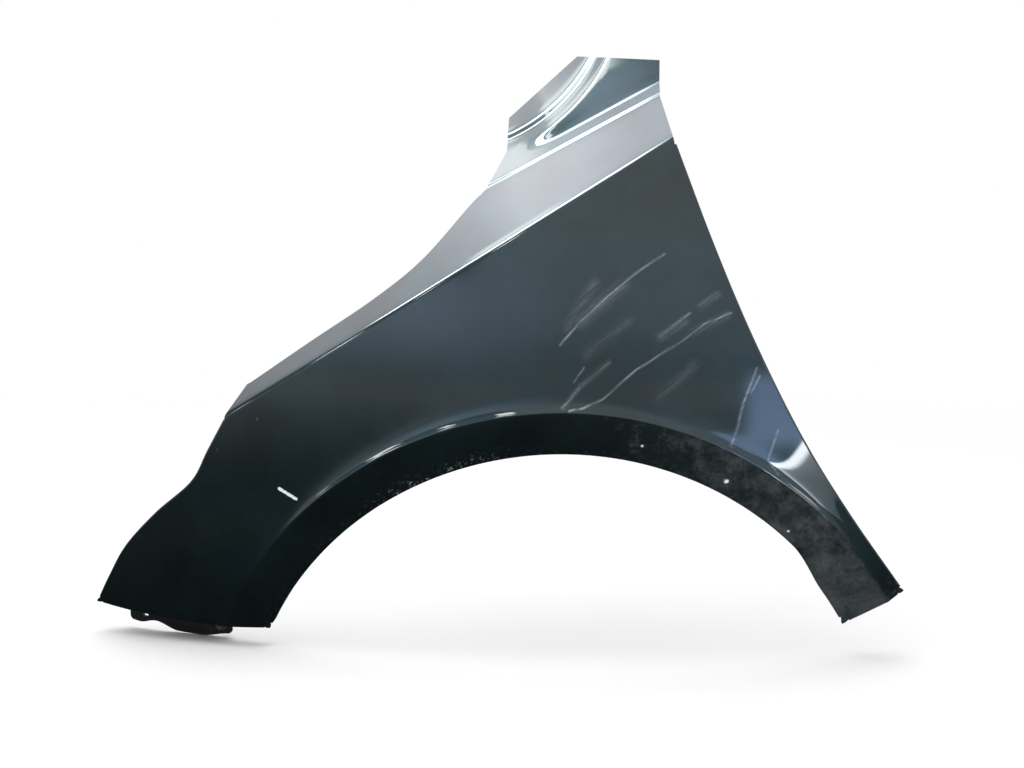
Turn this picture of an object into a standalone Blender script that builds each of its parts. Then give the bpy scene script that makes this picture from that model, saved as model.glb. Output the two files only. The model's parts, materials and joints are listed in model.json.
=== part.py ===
"""A left-hand front fender for a small hatchback, seen from outside.

One pressed steel panel, the black rail under its front corner that the bumper's edge clips to,
the flanged bolt of that rail and the square nut behind it.

The side view is drawn from the wheel's centre: x runs rearward, y inboard from the widest
place, and z up, in metres. The finished part is then moved so that its origin is on the
middle tab of the bonnet rail.
"""

import math

import bmesh
import bpy
from mathutils import Matrix, Vector

# The steel sheet and its folds
SHEET = 0.0008
FOLD_RADIUS = 0.0022
TAB_FOLD_RADIUS = 0.0028
MERGE_DISTANCE = 0.00001
CUT_OVERRUN = 0.004

# The wheel arch, and the flare pressed round it
ARCH_RADIUS = 0.3605
ARCH_TAIL_DROP = 0.0085
ARCH_TAIL_ANGLES = (44, 54)
ARCH_ANGLES = (-64.9, 61.3)
FLARE_ANGLES = (-68.3, 61.4)
FLARE_WIDTH = 0.0475
FLARE_RISE = 0.003
FLARE_SPREAD = 0.006
FLARE_ROUND = 0.0015
FLARE_FADE_ANGLES = (38, 60)
FLARE_END_SHARE = 0.3
BAND_SLOPE = 0.17

# How the skin curves: in at the nose and the tail, and in above and below the waist
NOSE_TUCK, NOSE_START, NOSE_RUN, NOSE_POWER = 0.120, 0.060, 0.590, 2.3
TAIL_TUCK, TAIL_RUN = 0.006, 0.370
CROWN_LEAN, CROWN_RUN, WAIST = 0.040, 0.330, 0.370

# Corners of the side view: the angle from straight up, and the reach beyond the flare's line
TIP_ANGLE, TIP_REACH = -72.84, 0.1530
CREASE_FRONT_ANGLE, CREASE_FRONT_REACH = -42.98, 0.1353
CREASE_REAR_ANGLE, CREASE_REAR_REACH = 9.54, 0.3037
SHOULDER_ANGLE, SHOULDER_REACH = -39.09, 0.1441
BONNET_END_ANGLE, BONNET_END_REACH = -7.40, 0.2399
RIDGE_END_ANGLE, RIDGE_END_REACH = 8.25, 0.3448
FOOT_ANGLE, FOOT_REACH = 60.95, 0.0204
SCREEN_ANGLE, SCREEN_REACH = 7.93, 0.3838
BEAD_START_ANGLE, BEAD_START_REACH = -5.04, 0.2784
BEAD_END_ANGLE, BEAD_END_REACH = 3.68, 0.3808
STRIP_START_ANGLE, STRIP_START_REACH = -4.61, 0.3145
STRIP_END_ANGLE, STRIP_END_REACH = 1.36, 0.3812
TIP_BOW = 0.003
CREASE_BOW = 0.001

# Shapes of the curved edges, as shares of the box between their two end corners
LAMP_EDGE_SHARES = ((0, 0), (0.10, 0.14), (0.24, 0.31), (0.47, 0.49), (0.735, 0.66), (0.86, 0.82), (1, 1))
BONNET_EDGE_SHARES = ((0, 0), (0.275, 0.235), (0.545, 0.46), (0.745, 0.66), (0.94, 0.93), (1, 1))
DOOR_EDGE_SHARES = ((0, 0), (0.165, 0.227), (0.335, 0.433), (0.54, 0.643), (0.75, 0.817), (1, 1))

# The shoulder above the crease
SHOULDER_SLOPE = 1.20
SHOULDER_CURVE = 1.5
CREASE_ROUND = 0.003
BONNET_SHARE = 0.54

# The corner under the bonnet: a step, a flat and a wall beside the shut line, then a bead and a strip
STEP_TURN, STEP_ROUND = -1.05, 0.0016
LEDGE_TURN, LEDGE_ROUND, LEDGE_START = 0.70, 0.0015, 0.0035
WALL_TURN, WALL_ROUND, WALL_START = -0.80, 0.003, 0.0125
WALL_FADE_SHARES = (0.18, 0.48)
BEAD_TURN, BEAD_ROUND = 0.80, 0.003
GROOVE_TURN, GROOVE_ROUND, GROOVE_START = -0.75, 0.002, 0.010
STRIP_TURN, STRIP_ROUND, STRIP_START_WIDTH = 0.70, 0.003, 0.018
BEAD_RADIUS = 0.2114
BEAD_SHARE = 0.60

# Rows of the corner, measured from the shut line and from the bead: one on either side of each fold
WALL_PLACES = (
    0.0, STEP_ROUND, LEDGE_START, LEDGE_START + LEDGE_ROUND,
    WALL_START - WALL_ROUND, WALL_START, WALL_START + WALL_ROUND,
)
STRIP_PLACES = (
    0.0, BEAD_ROUND, GROOVE_START - GROOVE_ROUND, GROOVE_START, GROOVE_START + GROOVE_ROUND,
    STRIP_START_WIDTH - STRIP_ROUND, STRIP_START_WIDTH, STRIP_START_WIDTH + STRIP_ROUND,
)

# Return flanges round the panel, which stop short of its corners
FLANGE_RELIEF = 0.007
ARCH_LIP = 0.013
LAMP_FLANGE = 0.009
BONNET_FLANGE = 0.018
DOOR_FLANGE = 0.012
FRONT_FLANGE = 0.025
FOOT_FLANGE = 0.008
ARCH_LIP_TURN, LAMP_TURN, BONNET_TURN = 92, 94, 125
DOOR_TURN, FRONT_TURN, FOOT_TURN = 94, 98, 90

# Tabs on the flanges: how far along the edge each one lies, its size and its bolt hole
TAB_WIDTH = 0.030
TAB_LENGTH = 0.026
TAB_CORNER = 0.007
TAB_HOLE_RADIUS = 0.0042
TAB_SLOT = 0.006
BONNET_TAB_SHARES = (0.12, 0.50, 0.83)
BONNET_TAB_ANGLE = -85
DOOR_TAB_SHARES = (0.09, 0.55)
DOOR_TAB_ANGLE = 86
LAMP_TAB_SHARES = (0.60,)
LAMP_TAB_ANGLE = 86
FOOT_TAB_LENGTH = 0.018
RAIL_TAB_WIDTH = 0.022
RAIL_TAB_LENGTH = 0.018
RAIL_TAB_PLACE = 0.0185
RAIL_TAB_ANGLE = -96
LINER_HOLE_RADIUS = 0.0035
LINER_HOLE_ANGLES = (-52, -28, 0, 26, 48)
LINER_HOLE_SHARE = 0.55
HOLE_SIDES = 20
MOUNT_OFFSET = 0.0098

# The bumper rail under the front corner, placed along the lower edge from the flare's line.
# Its web hangs by RAIL_DROPS at RAIL_PLACES: a long lobe, a notch and a short lobe.
CLEARANCE, LEG_CLEARANCE = 0.0003, 0.0007
RAIL_WALL = 0.0025
RAIL_PLACES = (0.0075, 0.0445, 0.0725, 0.1005, 0.1215, 0.1335)
RAIL_DROPS = (0.0210, 0.0282, 0.0284, 0.0212, 0.0268, 0.0262)
RAIL_LEG = 0.012
RAIL_END_RADIUS = 0.005
RAIL_END_ANGLES = (0, 30, 60)
RAIL_STEP = 0.005
RAIL_HOLE_PLACE = 0.1135
RAIL_HOLE_DROP = 0.0146
RAIL_HOLE_RADIUS = 0.0037

# The rail's bolt and the square nut welded behind the tab
BOLT_DROP = 0.0098
BOLT_RADIUS = 0.003
BOLT_FLANGE_RADIUS = 0.0078
BOLT_FLANGE = 0.0016
BOLT_HEAD_RADIUS = 0.0050
BOLT_HEAD = 0.0045
BOLT_CHAMFER = 0.0007
BOLT_LENGTH = 0.016
NUT_HALF_SIDE = 0.006
NUT_HEIGHT = 0.005

# How far the lower flanges' directions are averaged, and how finely curves are divided
STEADY_REACH = 0.020
COLUMN_STEP = 0.024
ROW_STEP = 0.026
BAND_ROW_SHARES = (0, 0.15, 0.45)
FOLD_STEPS = 3
PATH_STEPS = 16
ROUND_STEPS = 24
HEAD_FLATS, NUT_FLATS = 6, 4
SHARP_ANGLE = 30


def polar(radius, angle):
    """A point of the side view, by its distance from the wheel's centre and angle from straight up."""
    return Vector((radius * math.sin(math.radians(angle)), radius * math.cos(math.radians(angle))))


def corner(angle, reach):
    return polar(ARCH_RADIUS + FLARE_WIDTH + reach, angle)


TIP = corner(TIP_ANGLE, TIP_REACH)
CREASE_FRONT = corner(CREASE_FRONT_ANGLE, CREASE_FRONT_REACH)
CREASE_REAR = corner(CREASE_REAR_ANGLE, CREASE_REAR_REACH)
SHOULDER_CORNER = corner(SHOULDER_ANGLE, SHOULDER_REACH)
BONNET_END = corner(BONNET_END_ANGLE, BONNET_END_REACH)
RIDGE_END = corner(RIDGE_END_ANGLE, RIDGE_END_REACH)
FOOT = corner(FOOT_ANGLE, FOOT_REACH)
SCREEN_CORNER = corner(SCREEN_ANGLE, SCREEN_REACH)
BEAD_START = corner(BEAD_START_ANGLE, BEAD_START_REACH)
BEAD_END = corner(BEAD_END_ANGLE, BEAD_END_REACH)
STRIP_START = corner(STRIP_START_ANGLE, STRIP_START_REACH)
STRIP_END = corner(STRIP_END_ANGLE, STRIP_END_REACH)


def clear_scene():
    for old in list(bpy.data.objects):
        bpy.data.objects.remove(old)


def smooth_step(value):
    value = min(1.0, max(0.0, value))
    return value * value * (3 - 2 * value)


def soft_ramp(value, reach):
    """Zero below a fold and rising evenly past it, with an arc over the reach on either side."""
    if value <= -reach:
        return 0.0
    if value >= reach:
        return value
    return (value + reach) ** 2 / (4 * reach)


def mix(a, b, share):
    return a + (b - a) * share


# The skin's depth, as one formula over the side view

def line_place(x, z, start, end):
    """How far a point lies above a line, and how far along it as a share."""
    dx, dz = end[0] - start[0], end[1] - start[1]
    length = math.hypot(dx, dz)
    above = ((z - start[1]) * dx - (x - start[0]) * dz) / length
    along = ((x - start[0]) * dx + (z - start[1]) * dz) / length ** 2
    return above, along


def bead_centre():
    """Centre of the arc that the bead follows, above and ahead of its two ends."""
    half = (BEAD_END - BEAD_START) / 2
    rise = math.sqrt(BEAD_RADIUS ** 2 - half.length_squared)
    return BEAD_START + half + Vector((-half.y, half.x)).normalized() * rise


def crease_height(x, z):
    above, along = line_place(x, z, CREASE_FRONT, CREASE_REAR)
    return above - CREASE_BOW * 4 * along * (1 - along)


def body_depth(x, z):
    """The large curves of the skin, without its folds."""
    nose = max(0.0, (NOSE_START - x) / NOSE_RUN)
    tail = max(0.0, x / TAIL_RUN)
    lean = (z - WAIST) / CROWN_RUN
    return NOSE_TUCK * nose ** NOSE_POWER + TAIL_TUCK * tail ** 2 + CROWN_LEAN * lean ** 2


def flare_depth(x, z):
    """The flare stands out from the skin and its band turns under, both fading to the arch's ends."""
    beyond = math.hypot(x, z) - ARCH_RADIUS - FLARE_WIDTH
    angle = abs(math.degrees(math.atan2(x, z)))
    fade_start, fade_end = FLARE_FADE_ANGLES
    fade = 1 - (1 - FLARE_END_SHARE) * smooth_step((angle - fade_start) / (fade_end - fade_start))
    rise = FLARE_RISE * (1 - math.exp(-soft_ramp(beyond, FLARE_ROUND) / FLARE_SPREAD))
    return fade * (rise + BAND_SLOPE * soft_ramp(-beyond, FLARE_ROUND))


def shoulder_depth(x, z):
    height = soft_ramp(crease_height(x, z), CREASE_ROUND)
    return SHOULDER_SLOPE * height + SHOULDER_CURVE * height ** 2 / 2


def corner_depth(x, z):
    """The folds beside the bonnet's shut line, and the bead and strip above them."""
    above, along = line_place(x, z, BONNET_END, RIDGE_END)
    fade_start, fade_end = WALL_FADE_SHARES
    wall = smooth_step((along - fade_start) / (fade_end - fade_start))
    past = BEAD_RADIUS - (Vector((x, z)) - bead_centre()).length
    return (
        STEP_TURN * soft_ramp(above, STEP_ROUND)
        + LEDGE_TURN * soft_ramp(above - LEDGE_START, LEDGE_ROUND)
        + WALL_TURN * wall * soft_ramp(above - WALL_START, WALL_ROUND)
        + BEAD_TURN * wall * soft_ramp(past, BEAD_ROUND)
        + GROOVE_TURN * soft_ramp(past - GROOVE_START, GROOVE_ROUND)
        + STRIP_TURN * soft_ramp(past - STRIP_START_WIDTH, STRIP_ROUND)
    )


def on_skin(x, z):
    depth = body_depth(x, z) + flare_depth(x, z) + shoulder_depth(x, z) + corner_depth(x, z)
    return Vector((x, depth, z))


# Edges of the side view

def along_path(points, share):
    """The point at a share of the length of a line of points."""
    lengths = [(b - a).length for a, b in zip(points, points[1:])]
    left = share * sum(lengths)
    for a, b, length in zip(points, points[1:], lengths):
        if left <= length:
            return a.lerp(b, left / length)
        left -= length
    return points[-1].copy()


def curve_between(start, end, shares):
    """A smooth edge from one corner to another through points given as shares of their box."""
    box = end - start
    knots = [start + Vector((a * box.x, b * box.y)) for a, b in shares]
    knots = [2 * knots[0] - knots[1]] + knots + [2 * knots[-1] - knots[-2]]
    points = []
    for before, a, b, after in zip(knots, knots[1:], knots[2:], knots[3:]):
        for step in range(PATH_STEPS):
            t = step / PATH_STEPS
            points.append(
                a
                + (b - before) * t / 2
                + (before - a * 5 / 2 + b * 2 - after / 2) * t ** 2
                + ((a - b) * 3 + after - before) * t ** 3 / 2
            )
    return points + [end]


def path_length(points):
    return sum((b - a).length for a, b in zip(points, points[1:]))


def stations(length, marks, step):
    """Places along an edge: both ends, every mark, and even steps between them."""
    fixed = [0.0] + sorted(marks) + [length]
    places = []
    for a, b in zip(fixed, fixed[1:]):
        count = max(1, round((b - a) / step))
        places += [a + (b - a) * k / count for k in range(count)]
    return places + [length]


def tab_marks(centre, width):
    """The two sides of a tab and the starts of its rounded corners."""
    half = width / 2
    return [centre - half, centre - half + TAB_CORNER, centre + half - TAB_CORNER, centre + half]


def relieved(length, tab_shares):
    """The marks of an edge whose flange stops short of both ends and carries tabs."""
    marks = [mark for share in tab_shares for mark in tab_marks(share * length, TAB_WIDTH)]
    return [FLANGE_RELIEF] + marks + [length - FLANGE_RELIEF]


def front_edge_length():
    """The straight length of the front lower edge beyond the flare's line."""
    return (TIP - polar(ARCH_RADIUS + FLARE_WIDTH, FLARE_ANGLES[0])).length


def arch_radius(angle):
    start, end = ARCH_TAIL_ANGLES
    return ARCH_RADIUS - ARCH_TAIL_DROP * smooth_step((angle - start) / (end - start))


def angle_of(point):
    return math.degrees(math.atan2(point[0], point[1]))


def remap(angle, inner, outer_front, outer_rear):
    """An angle of the outer edge turned into one of an inner arc, which meets it at the crease's ends."""
    low, high = angle_of(CREASE_FRONT), angle_of(CREASE_REAR)
    if angle < low:
        return mix(inner[0], low, (angle - outer_front) / (low - outer_front))
    if angle > high:
        return mix(high, inner[1], (angle - high) / (outer_rear - high))
    return angle


class Layout:
    """Every edge of the side view, divided into the columns and rows that the sheet is built on."""

    def __init__(self):
        self.lamp = curve_between(TIP, CREASE_FRONT, LAMP_EDGE_SHARES)
        self.bonnet = curve_between(SHOULDER_CORNER, BONNET_END, BONNET_EDGE_SHARES)
        self.door = curve_between(CREASE_REAR, FOOT, DOOR_EDGE_SHARES)
        self.ridge = [BONNET_END, RIDGE_END]
        lamp, bonnet, ridge, door = map(path_length, (self.lamp, self.bonnet, self.ridge, self.door))
        self.lamp_places = stations(lamp, relieved(lamp, LAMP_TAB_SHARES), COLUMN_STEP)
        self.bonnet_places = stations(bonnet, relieved(bonnet, BONNET_TAB_SHARES), COLUMN_STEP)
        self.ridge_places = stations(ridge, [BEAD_SHARE * ridge], COLUMN_STEP)
        self.door_places = stations(door, relieved(door, DOOR_TAB_SHARES), COLUMN_STEP)
        self.rows = self.reach_rows()

    def reach_rows(self):
        """Rows beyond the flare line, as shares, set by what the front lower edge carries."""
        edge = front_edge_length()
        marks = tab_marks(RAIL_TAB_PLACE, RAIL_TAB_WIDTH) + [edge - FLANGE_RELIEF]
        return [place / edge for place in stations(edge, marks, ROW_STEP)]

    def reach_places(self, reach):
        """Rows of one column beyond the flare line, with rows beside the fold at each end."""
        even = [share * reach for share in self.rows[1:-1]]
        first, second = min(FLARE_ROUND, even[0] / 3), min(FLARE_SPREAD, even[0] * 2 / 3)
        last = min(CREASE_ROUND, (reach - even[-1]) / 2)
        return [0.0, first, second] + even + [reach - last, reach]

    def outer_points(self):
        """The outer end of every column of the main skin, from the tip to the foot."""
        crease = [CREASE_FRONT, CREASE_REAR]
        bonnet = [BONNET_SHARE * place / self.bonnet_places[-1] for place in self.bonnet_places]
        ridge = [mix(BONNET_SHARE, 1, place / self.ridge_places[-1]) for place in self.ridge_places]
        points = [along_path(self.lamp, place / self.lamp_places[-1]) for place in self.lamp_places[:-1]]
        for share in bonnet[:-1] + ridge:
            point = along_path(crease, share)
            across = (crease[1] - crease[0]).normalized()
            bow = CREASE_BOW * 4 * share * (1 - share)
            points.append(point + Vector((-across.y, across.x)) * bow)
        points += [along_path(self.door, place / self.door_places[-1]) for place in self.door_places[1:]]
        return points


def skin_columns(layout):
    """Side-view points of the main skin: one list for each column, from the arch edge outwards."""
    outer = layout.outer_points()
    last_lamp = len(layout.lamp_places) - 1
    first_door = len(outer) - len(layout.door_places)
    columns = []
    for index, end in enumerate(outer):
        angle = angle_of(end)
        front, rear = angle_of(TIP), angle_of(FOOT)
        arch_angle = remap(angle, ARCH_ANGLES, front, rear)
        flare_angle = remap(angle, FLARE_ANGLES, front, rear)
        lip = FOLD_RADIUS if 0 < index < len(outer) - 1 else 0.0
        arch = polar(arch_radius(arch_angle) + lip, arch_angle)
        flare = polar(ARCH_RADIUS + FLARE_WIDTH, flare_angle)
        if 0 < index < last_lamp or first_door < index < len(outer) - 1:
            end = end - (end - flare).normalized() * FOLD_RADIUS
        column = [arch.lerp(flare, share) for share in BAND_ROW_SHARES]
        column.append(flare - (flare - arch).normalized() * FLARE_ROUND)
        reach = (end - flare).length
        column += [flare.lerp(end, place / reach) for place in layout.reach_places(reach)]
        columns.append(column)
    bow_bottom(columns, last_lamp)
    pull_in_sides(columns)
    return columns


def bow_bottom(columns, last_lamp):
    """The front lower edge sags a little between the flare line and the tip."""
    for index in range(last_lamp):
        fade = (1 - index / last_lamp) ** 2
        flare = columns[index][len(BAND_ROW_SHARES) + 1]
        reach = (columns[index][-1] - flare).length
        for point in columns[index][len(BAND_ROW_SHARES) + 1:]:
            share = (point - flare).length / reach
            point.y -= TIP_BOW * 4 * share * (1 - share) * fade


def pull_in_sides(columns):
    """The two lower edges stop short by the fold's radius, except at their corners."""
    for edge, inner in ((0, 1), (-1, -2)):
        for row in range(1, len(columns[0]) - 1):
            inward = (columns[inner][row] - columns[edge][row]).normalized()
            columns[edge][row] += inward * FOLD_RADIUS


def shoulder_columns(layout, outer):
    """Side-view points from the crease up to the bonnet edge and the shut line."""
    bonnet = [along_path(layout.bonnet, place / layout.bonnet_places[-1]) for place in layout.bonnet_places]
    ridge = [along_path(layout.ridge, place / layout.ridge_places[-1]) for place in layout.ridge_places]
    first = len(layout.lamp_places) - 1
    columns = []
    for index, top in enumerate(bonnet[:-1] + ridge):
        base = outer[first + index]
        if 0 < index < len(bonnet) - 1:
            top = top - (top - base).normalized() * FOLD_RADIUS
        reach = (top - base).length
        places = (0.0, CREASE_ROUND, reach / 2, reach - STEP_ROUND, reach)
        columns.append([base.lerp(top, place / reach) for place in places])
    return columns


def bead_point(share):
    """A point on the bead's arc, from its lower to its upper end."""
    centre = bead_centre()
    start, end = BEAD_START - centre, BEAD_END - centre
    angle = mix(math.atan2(start.y, start.x), math.atan2(end.y, end.x), share)
    return centre + Vector((math.cos(angle), math.sin(angle))) * BEAD_RADIUS


def corner_columns(layout):
    """Side-view points from the shut line up to the bead and the screen edge, and on over the strip."""
    shares = [place / layout.ridge_places[-1] for place in layout.ridge_places]
    ridge = RIDGE_END - BONNET_END
    across = Vector((-ridge.y, ridge.x)).normalized()
    wall, strip = [], []
    for share in shares:
        base = along_path(layout.ridge, share)
        on_bead = share <= BEAD_SHARE + MERGE_DISTANCE
        if on_bead:
            top = bead_point(min(1.0, share / BEAD_SHARE))
        else:
            top = BEAD_END.lerp(SCREEN_CORNER, (share - BEAD_SHARE) / (1 - BEAD_SHARE))
        way = (top - base).normalized()
        column = [base + way * (place / way.dot(across)) for place in WALL_PLACES]
        before_bead = top - way * BEAD_ROUND
        wall.append(column + [(column[-1] + before_bead) / 2, before_bead, top])
        if on_bead:
            edge = STRIP_START.lerp(STRIP_END, share / BEAD_SHARE)
            way = (edge - top).normalized()
            towards = (bead_centre() - top).normalized()
            strip.append([top + way * (place / way.dot(towards)) for place in STRIP_PLACES] + [edge])
    return wall, strip


# Lofted sheets and their folds

def loft(mesh, rows):
    """Four-sided faces between neighbouring rows of points."""
    grid = [[mesh.verts.new(point) for point in row] for row in rows]
    for lower, upper in zip(grid, grid[1:]):
        for a, b, c, d in zip(lower, lower[1:], upper[1:], upper):
            mesh.faces.new((a, b, c, d))


def lifted(columns):
    return [[on_skin(point.x, point.y) for point in column] for column in columns]


def fold_profile(steps):
    """Points of a folded edge, as (outwards, inwards), from turns in degrees, radii and straights."""
    place, heading, points = Vector((0.0, 0.0)), 0.0, []
    for turn, radius, straight in steps:
        start, side = place.copy(), math.copysign(radius, turn)
        for step in range(1, FOLD_STEPS + 1 if turn else 1):
            angle = heading + math.radians(turn) * step / FOLD_STEPS
            swing = Vector((math.sin(angle) - math.sin(heading), math.cos(heading) - math.cos(angle)))
            points.append(start + swing * side)
        place = points[-1] if turn else place
        heading += math.radians(turn)
        place = place + Vector((math.cos(heading), math.sin(heading))) * straight
        points.append(place)
    return points


def edge_frames(edge, inner):
    """For each point of an edge: the point, the way along, the way out of the sheet, the way inboard."""
    frames = []
    for index, point in enumerate(edge):
        before, after = edge[max(0, index - 1)], edge[min(len(edge) - 1, index + 1)]
        along = (after - before).normalized()
        outward = point - inner[index]
        outward = (outward - along * outward.dot(along)).normalized()
        inboard = along.cross(outward)
        if inboard.y < 0:
            inboard.negate()
        frames.append((point, along, outward, inboard))
    return frames


def steadied(frames):
    """The same frames with their ways averaged nearby, so that a deep flange doesn't fold at the flare."""
    steady = []
    for point, along, _, _ in frames:
        near = [(max(0.0, 1 - (frame[0] - point).length / STEADY_REACH), frame) for frame in frames]
        outward = sum((frame[2] * weight for weight, frame in near), Vector()).normalized()
        inboard = sum((frame[3] * weight for weight, frame in near), Vector())
        inboard = (inboard - outward * inboard.dot(outward)).normalized()
        steady.append((point, along, outward, inboard))
    return steady


def flange_rows(frames, steps):
    rows = [[frame[0] for frame in frames]]
    for out, inward in fold_profile(steps):
        rows.append([point + outward * out + inboard * inward for point, _, outward, inboard in frames])
    return rows


class Tab:
    """A flat, rounded ear on a flange, with one frame for the whole of it."""

    def __init__(self, frames, flange_steps, turn, length, corner):
        first, last = frames[0], frames[-1]
        heading = math.radians(sum(step[0] for step in flange_steps))
        out, inward = fold_profile(flange_steps)[-1]
        outward = (first[2] + last[2]).normalized()
        inboard = (first[3] + last[3]).normalized()
        roots = [point + o * out + d * inward for point, _, o, d in frames]
        self.roots = roots
        self.along = (roots[-1] - roots[0]).normalized()
        outward = (outward - self.along * outward.dot(self.along)).normalized()
        inboard = (inboard - self.along * inboard.dot(self.along))
        inboard = (inboard - outward * inboard.dot(outward)).normalized()
        self.centre = (roots[0] + roots[-1]) / 2
        self.forward = outward * math.cos(heading) + inboard * math.sin(heading)
        self.side = inboard * math.cos(heading) - outward * math.sin(heading)
        self.width = (roots[-1] - roots[0]).length
        self.turn, self.length, self.corner = turn, length, corner

    def at(self, across, out, inward):
        return self.centre + self.along * across + self.forward * out + self.side * inward

    def flat_frame(self):
        """Where the flat part starts, the way along it to its end, and its outer face's normal."""
        steps = [(self.turn, TAB_FOLD_RADIUS, 0.0)] if self.turn else [(0, 0.0, 0.0)]
        out, inward = fold_profile(steps)[-1]
        angle = math.radians(self.turn)
        way = self.forward * math.cos(angle) + self.side * math.sin(angle)
        normal = self.forward * math.sin(angle) - self.side * math.cos(angle)
        return self.at(0.0, out, inward), way, normal

    def place(self, share):
        """A point on the middle line of the flat part."""
        start, way, _ = self.flat_frame()
        return start + way * self.length * share

    def rows(self):
        start, way, _ = self.flat_frame()
        offsets = [(root - self.centre).dot(self.along) for root in self.roots]
        rows = [self.roots]
        bend = fold_profile([(self.turn, TAB_FOLD_RADIUS, 0.0)])[:-1] if self.turn else [(TAB_FOLD_RADIUS, 0.0)]
        rows += [[self.at(offset, out, inward) for offset in offsets] for out, inward in bend]
        for reach in (self.length - self.corner, self.length):
            rows.append([self.rounded(start, way, offset, reach) for offset in offsets])
        return rows

    def rounded(self, start, way, offset, reach):
        """Pulls the square outer corners of the ear onto a quarter circle."""
        past = abs(offset) - (self.width / 2 - self.corner)
        beyond = reach - (self.length - self.corner)
        if past > 0 and beyond > 0:
            a, b = past / self.corner, beyond / self.corner
            past = self.corner * a * math.sqrt(1 - b * b / 2)
            beyond = self.corner * b * math.sqrt(1 - a * a / 2)
            offset = math.copysign(self.width / 2 - self.corner + past, offset)
            reach = self.length - self.corner + beyond
        return start + self.along * offset + way * reach


def tab_columns(places, centre, width):
    """Which columns a tab spans."""
    low, high = centre - width / 2 - MERGE_DISTANCE, centre + width / 2 + MERGE_DISTANCE
    return [index for index, place in enumerate(places) if low <= place <= high]


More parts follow.
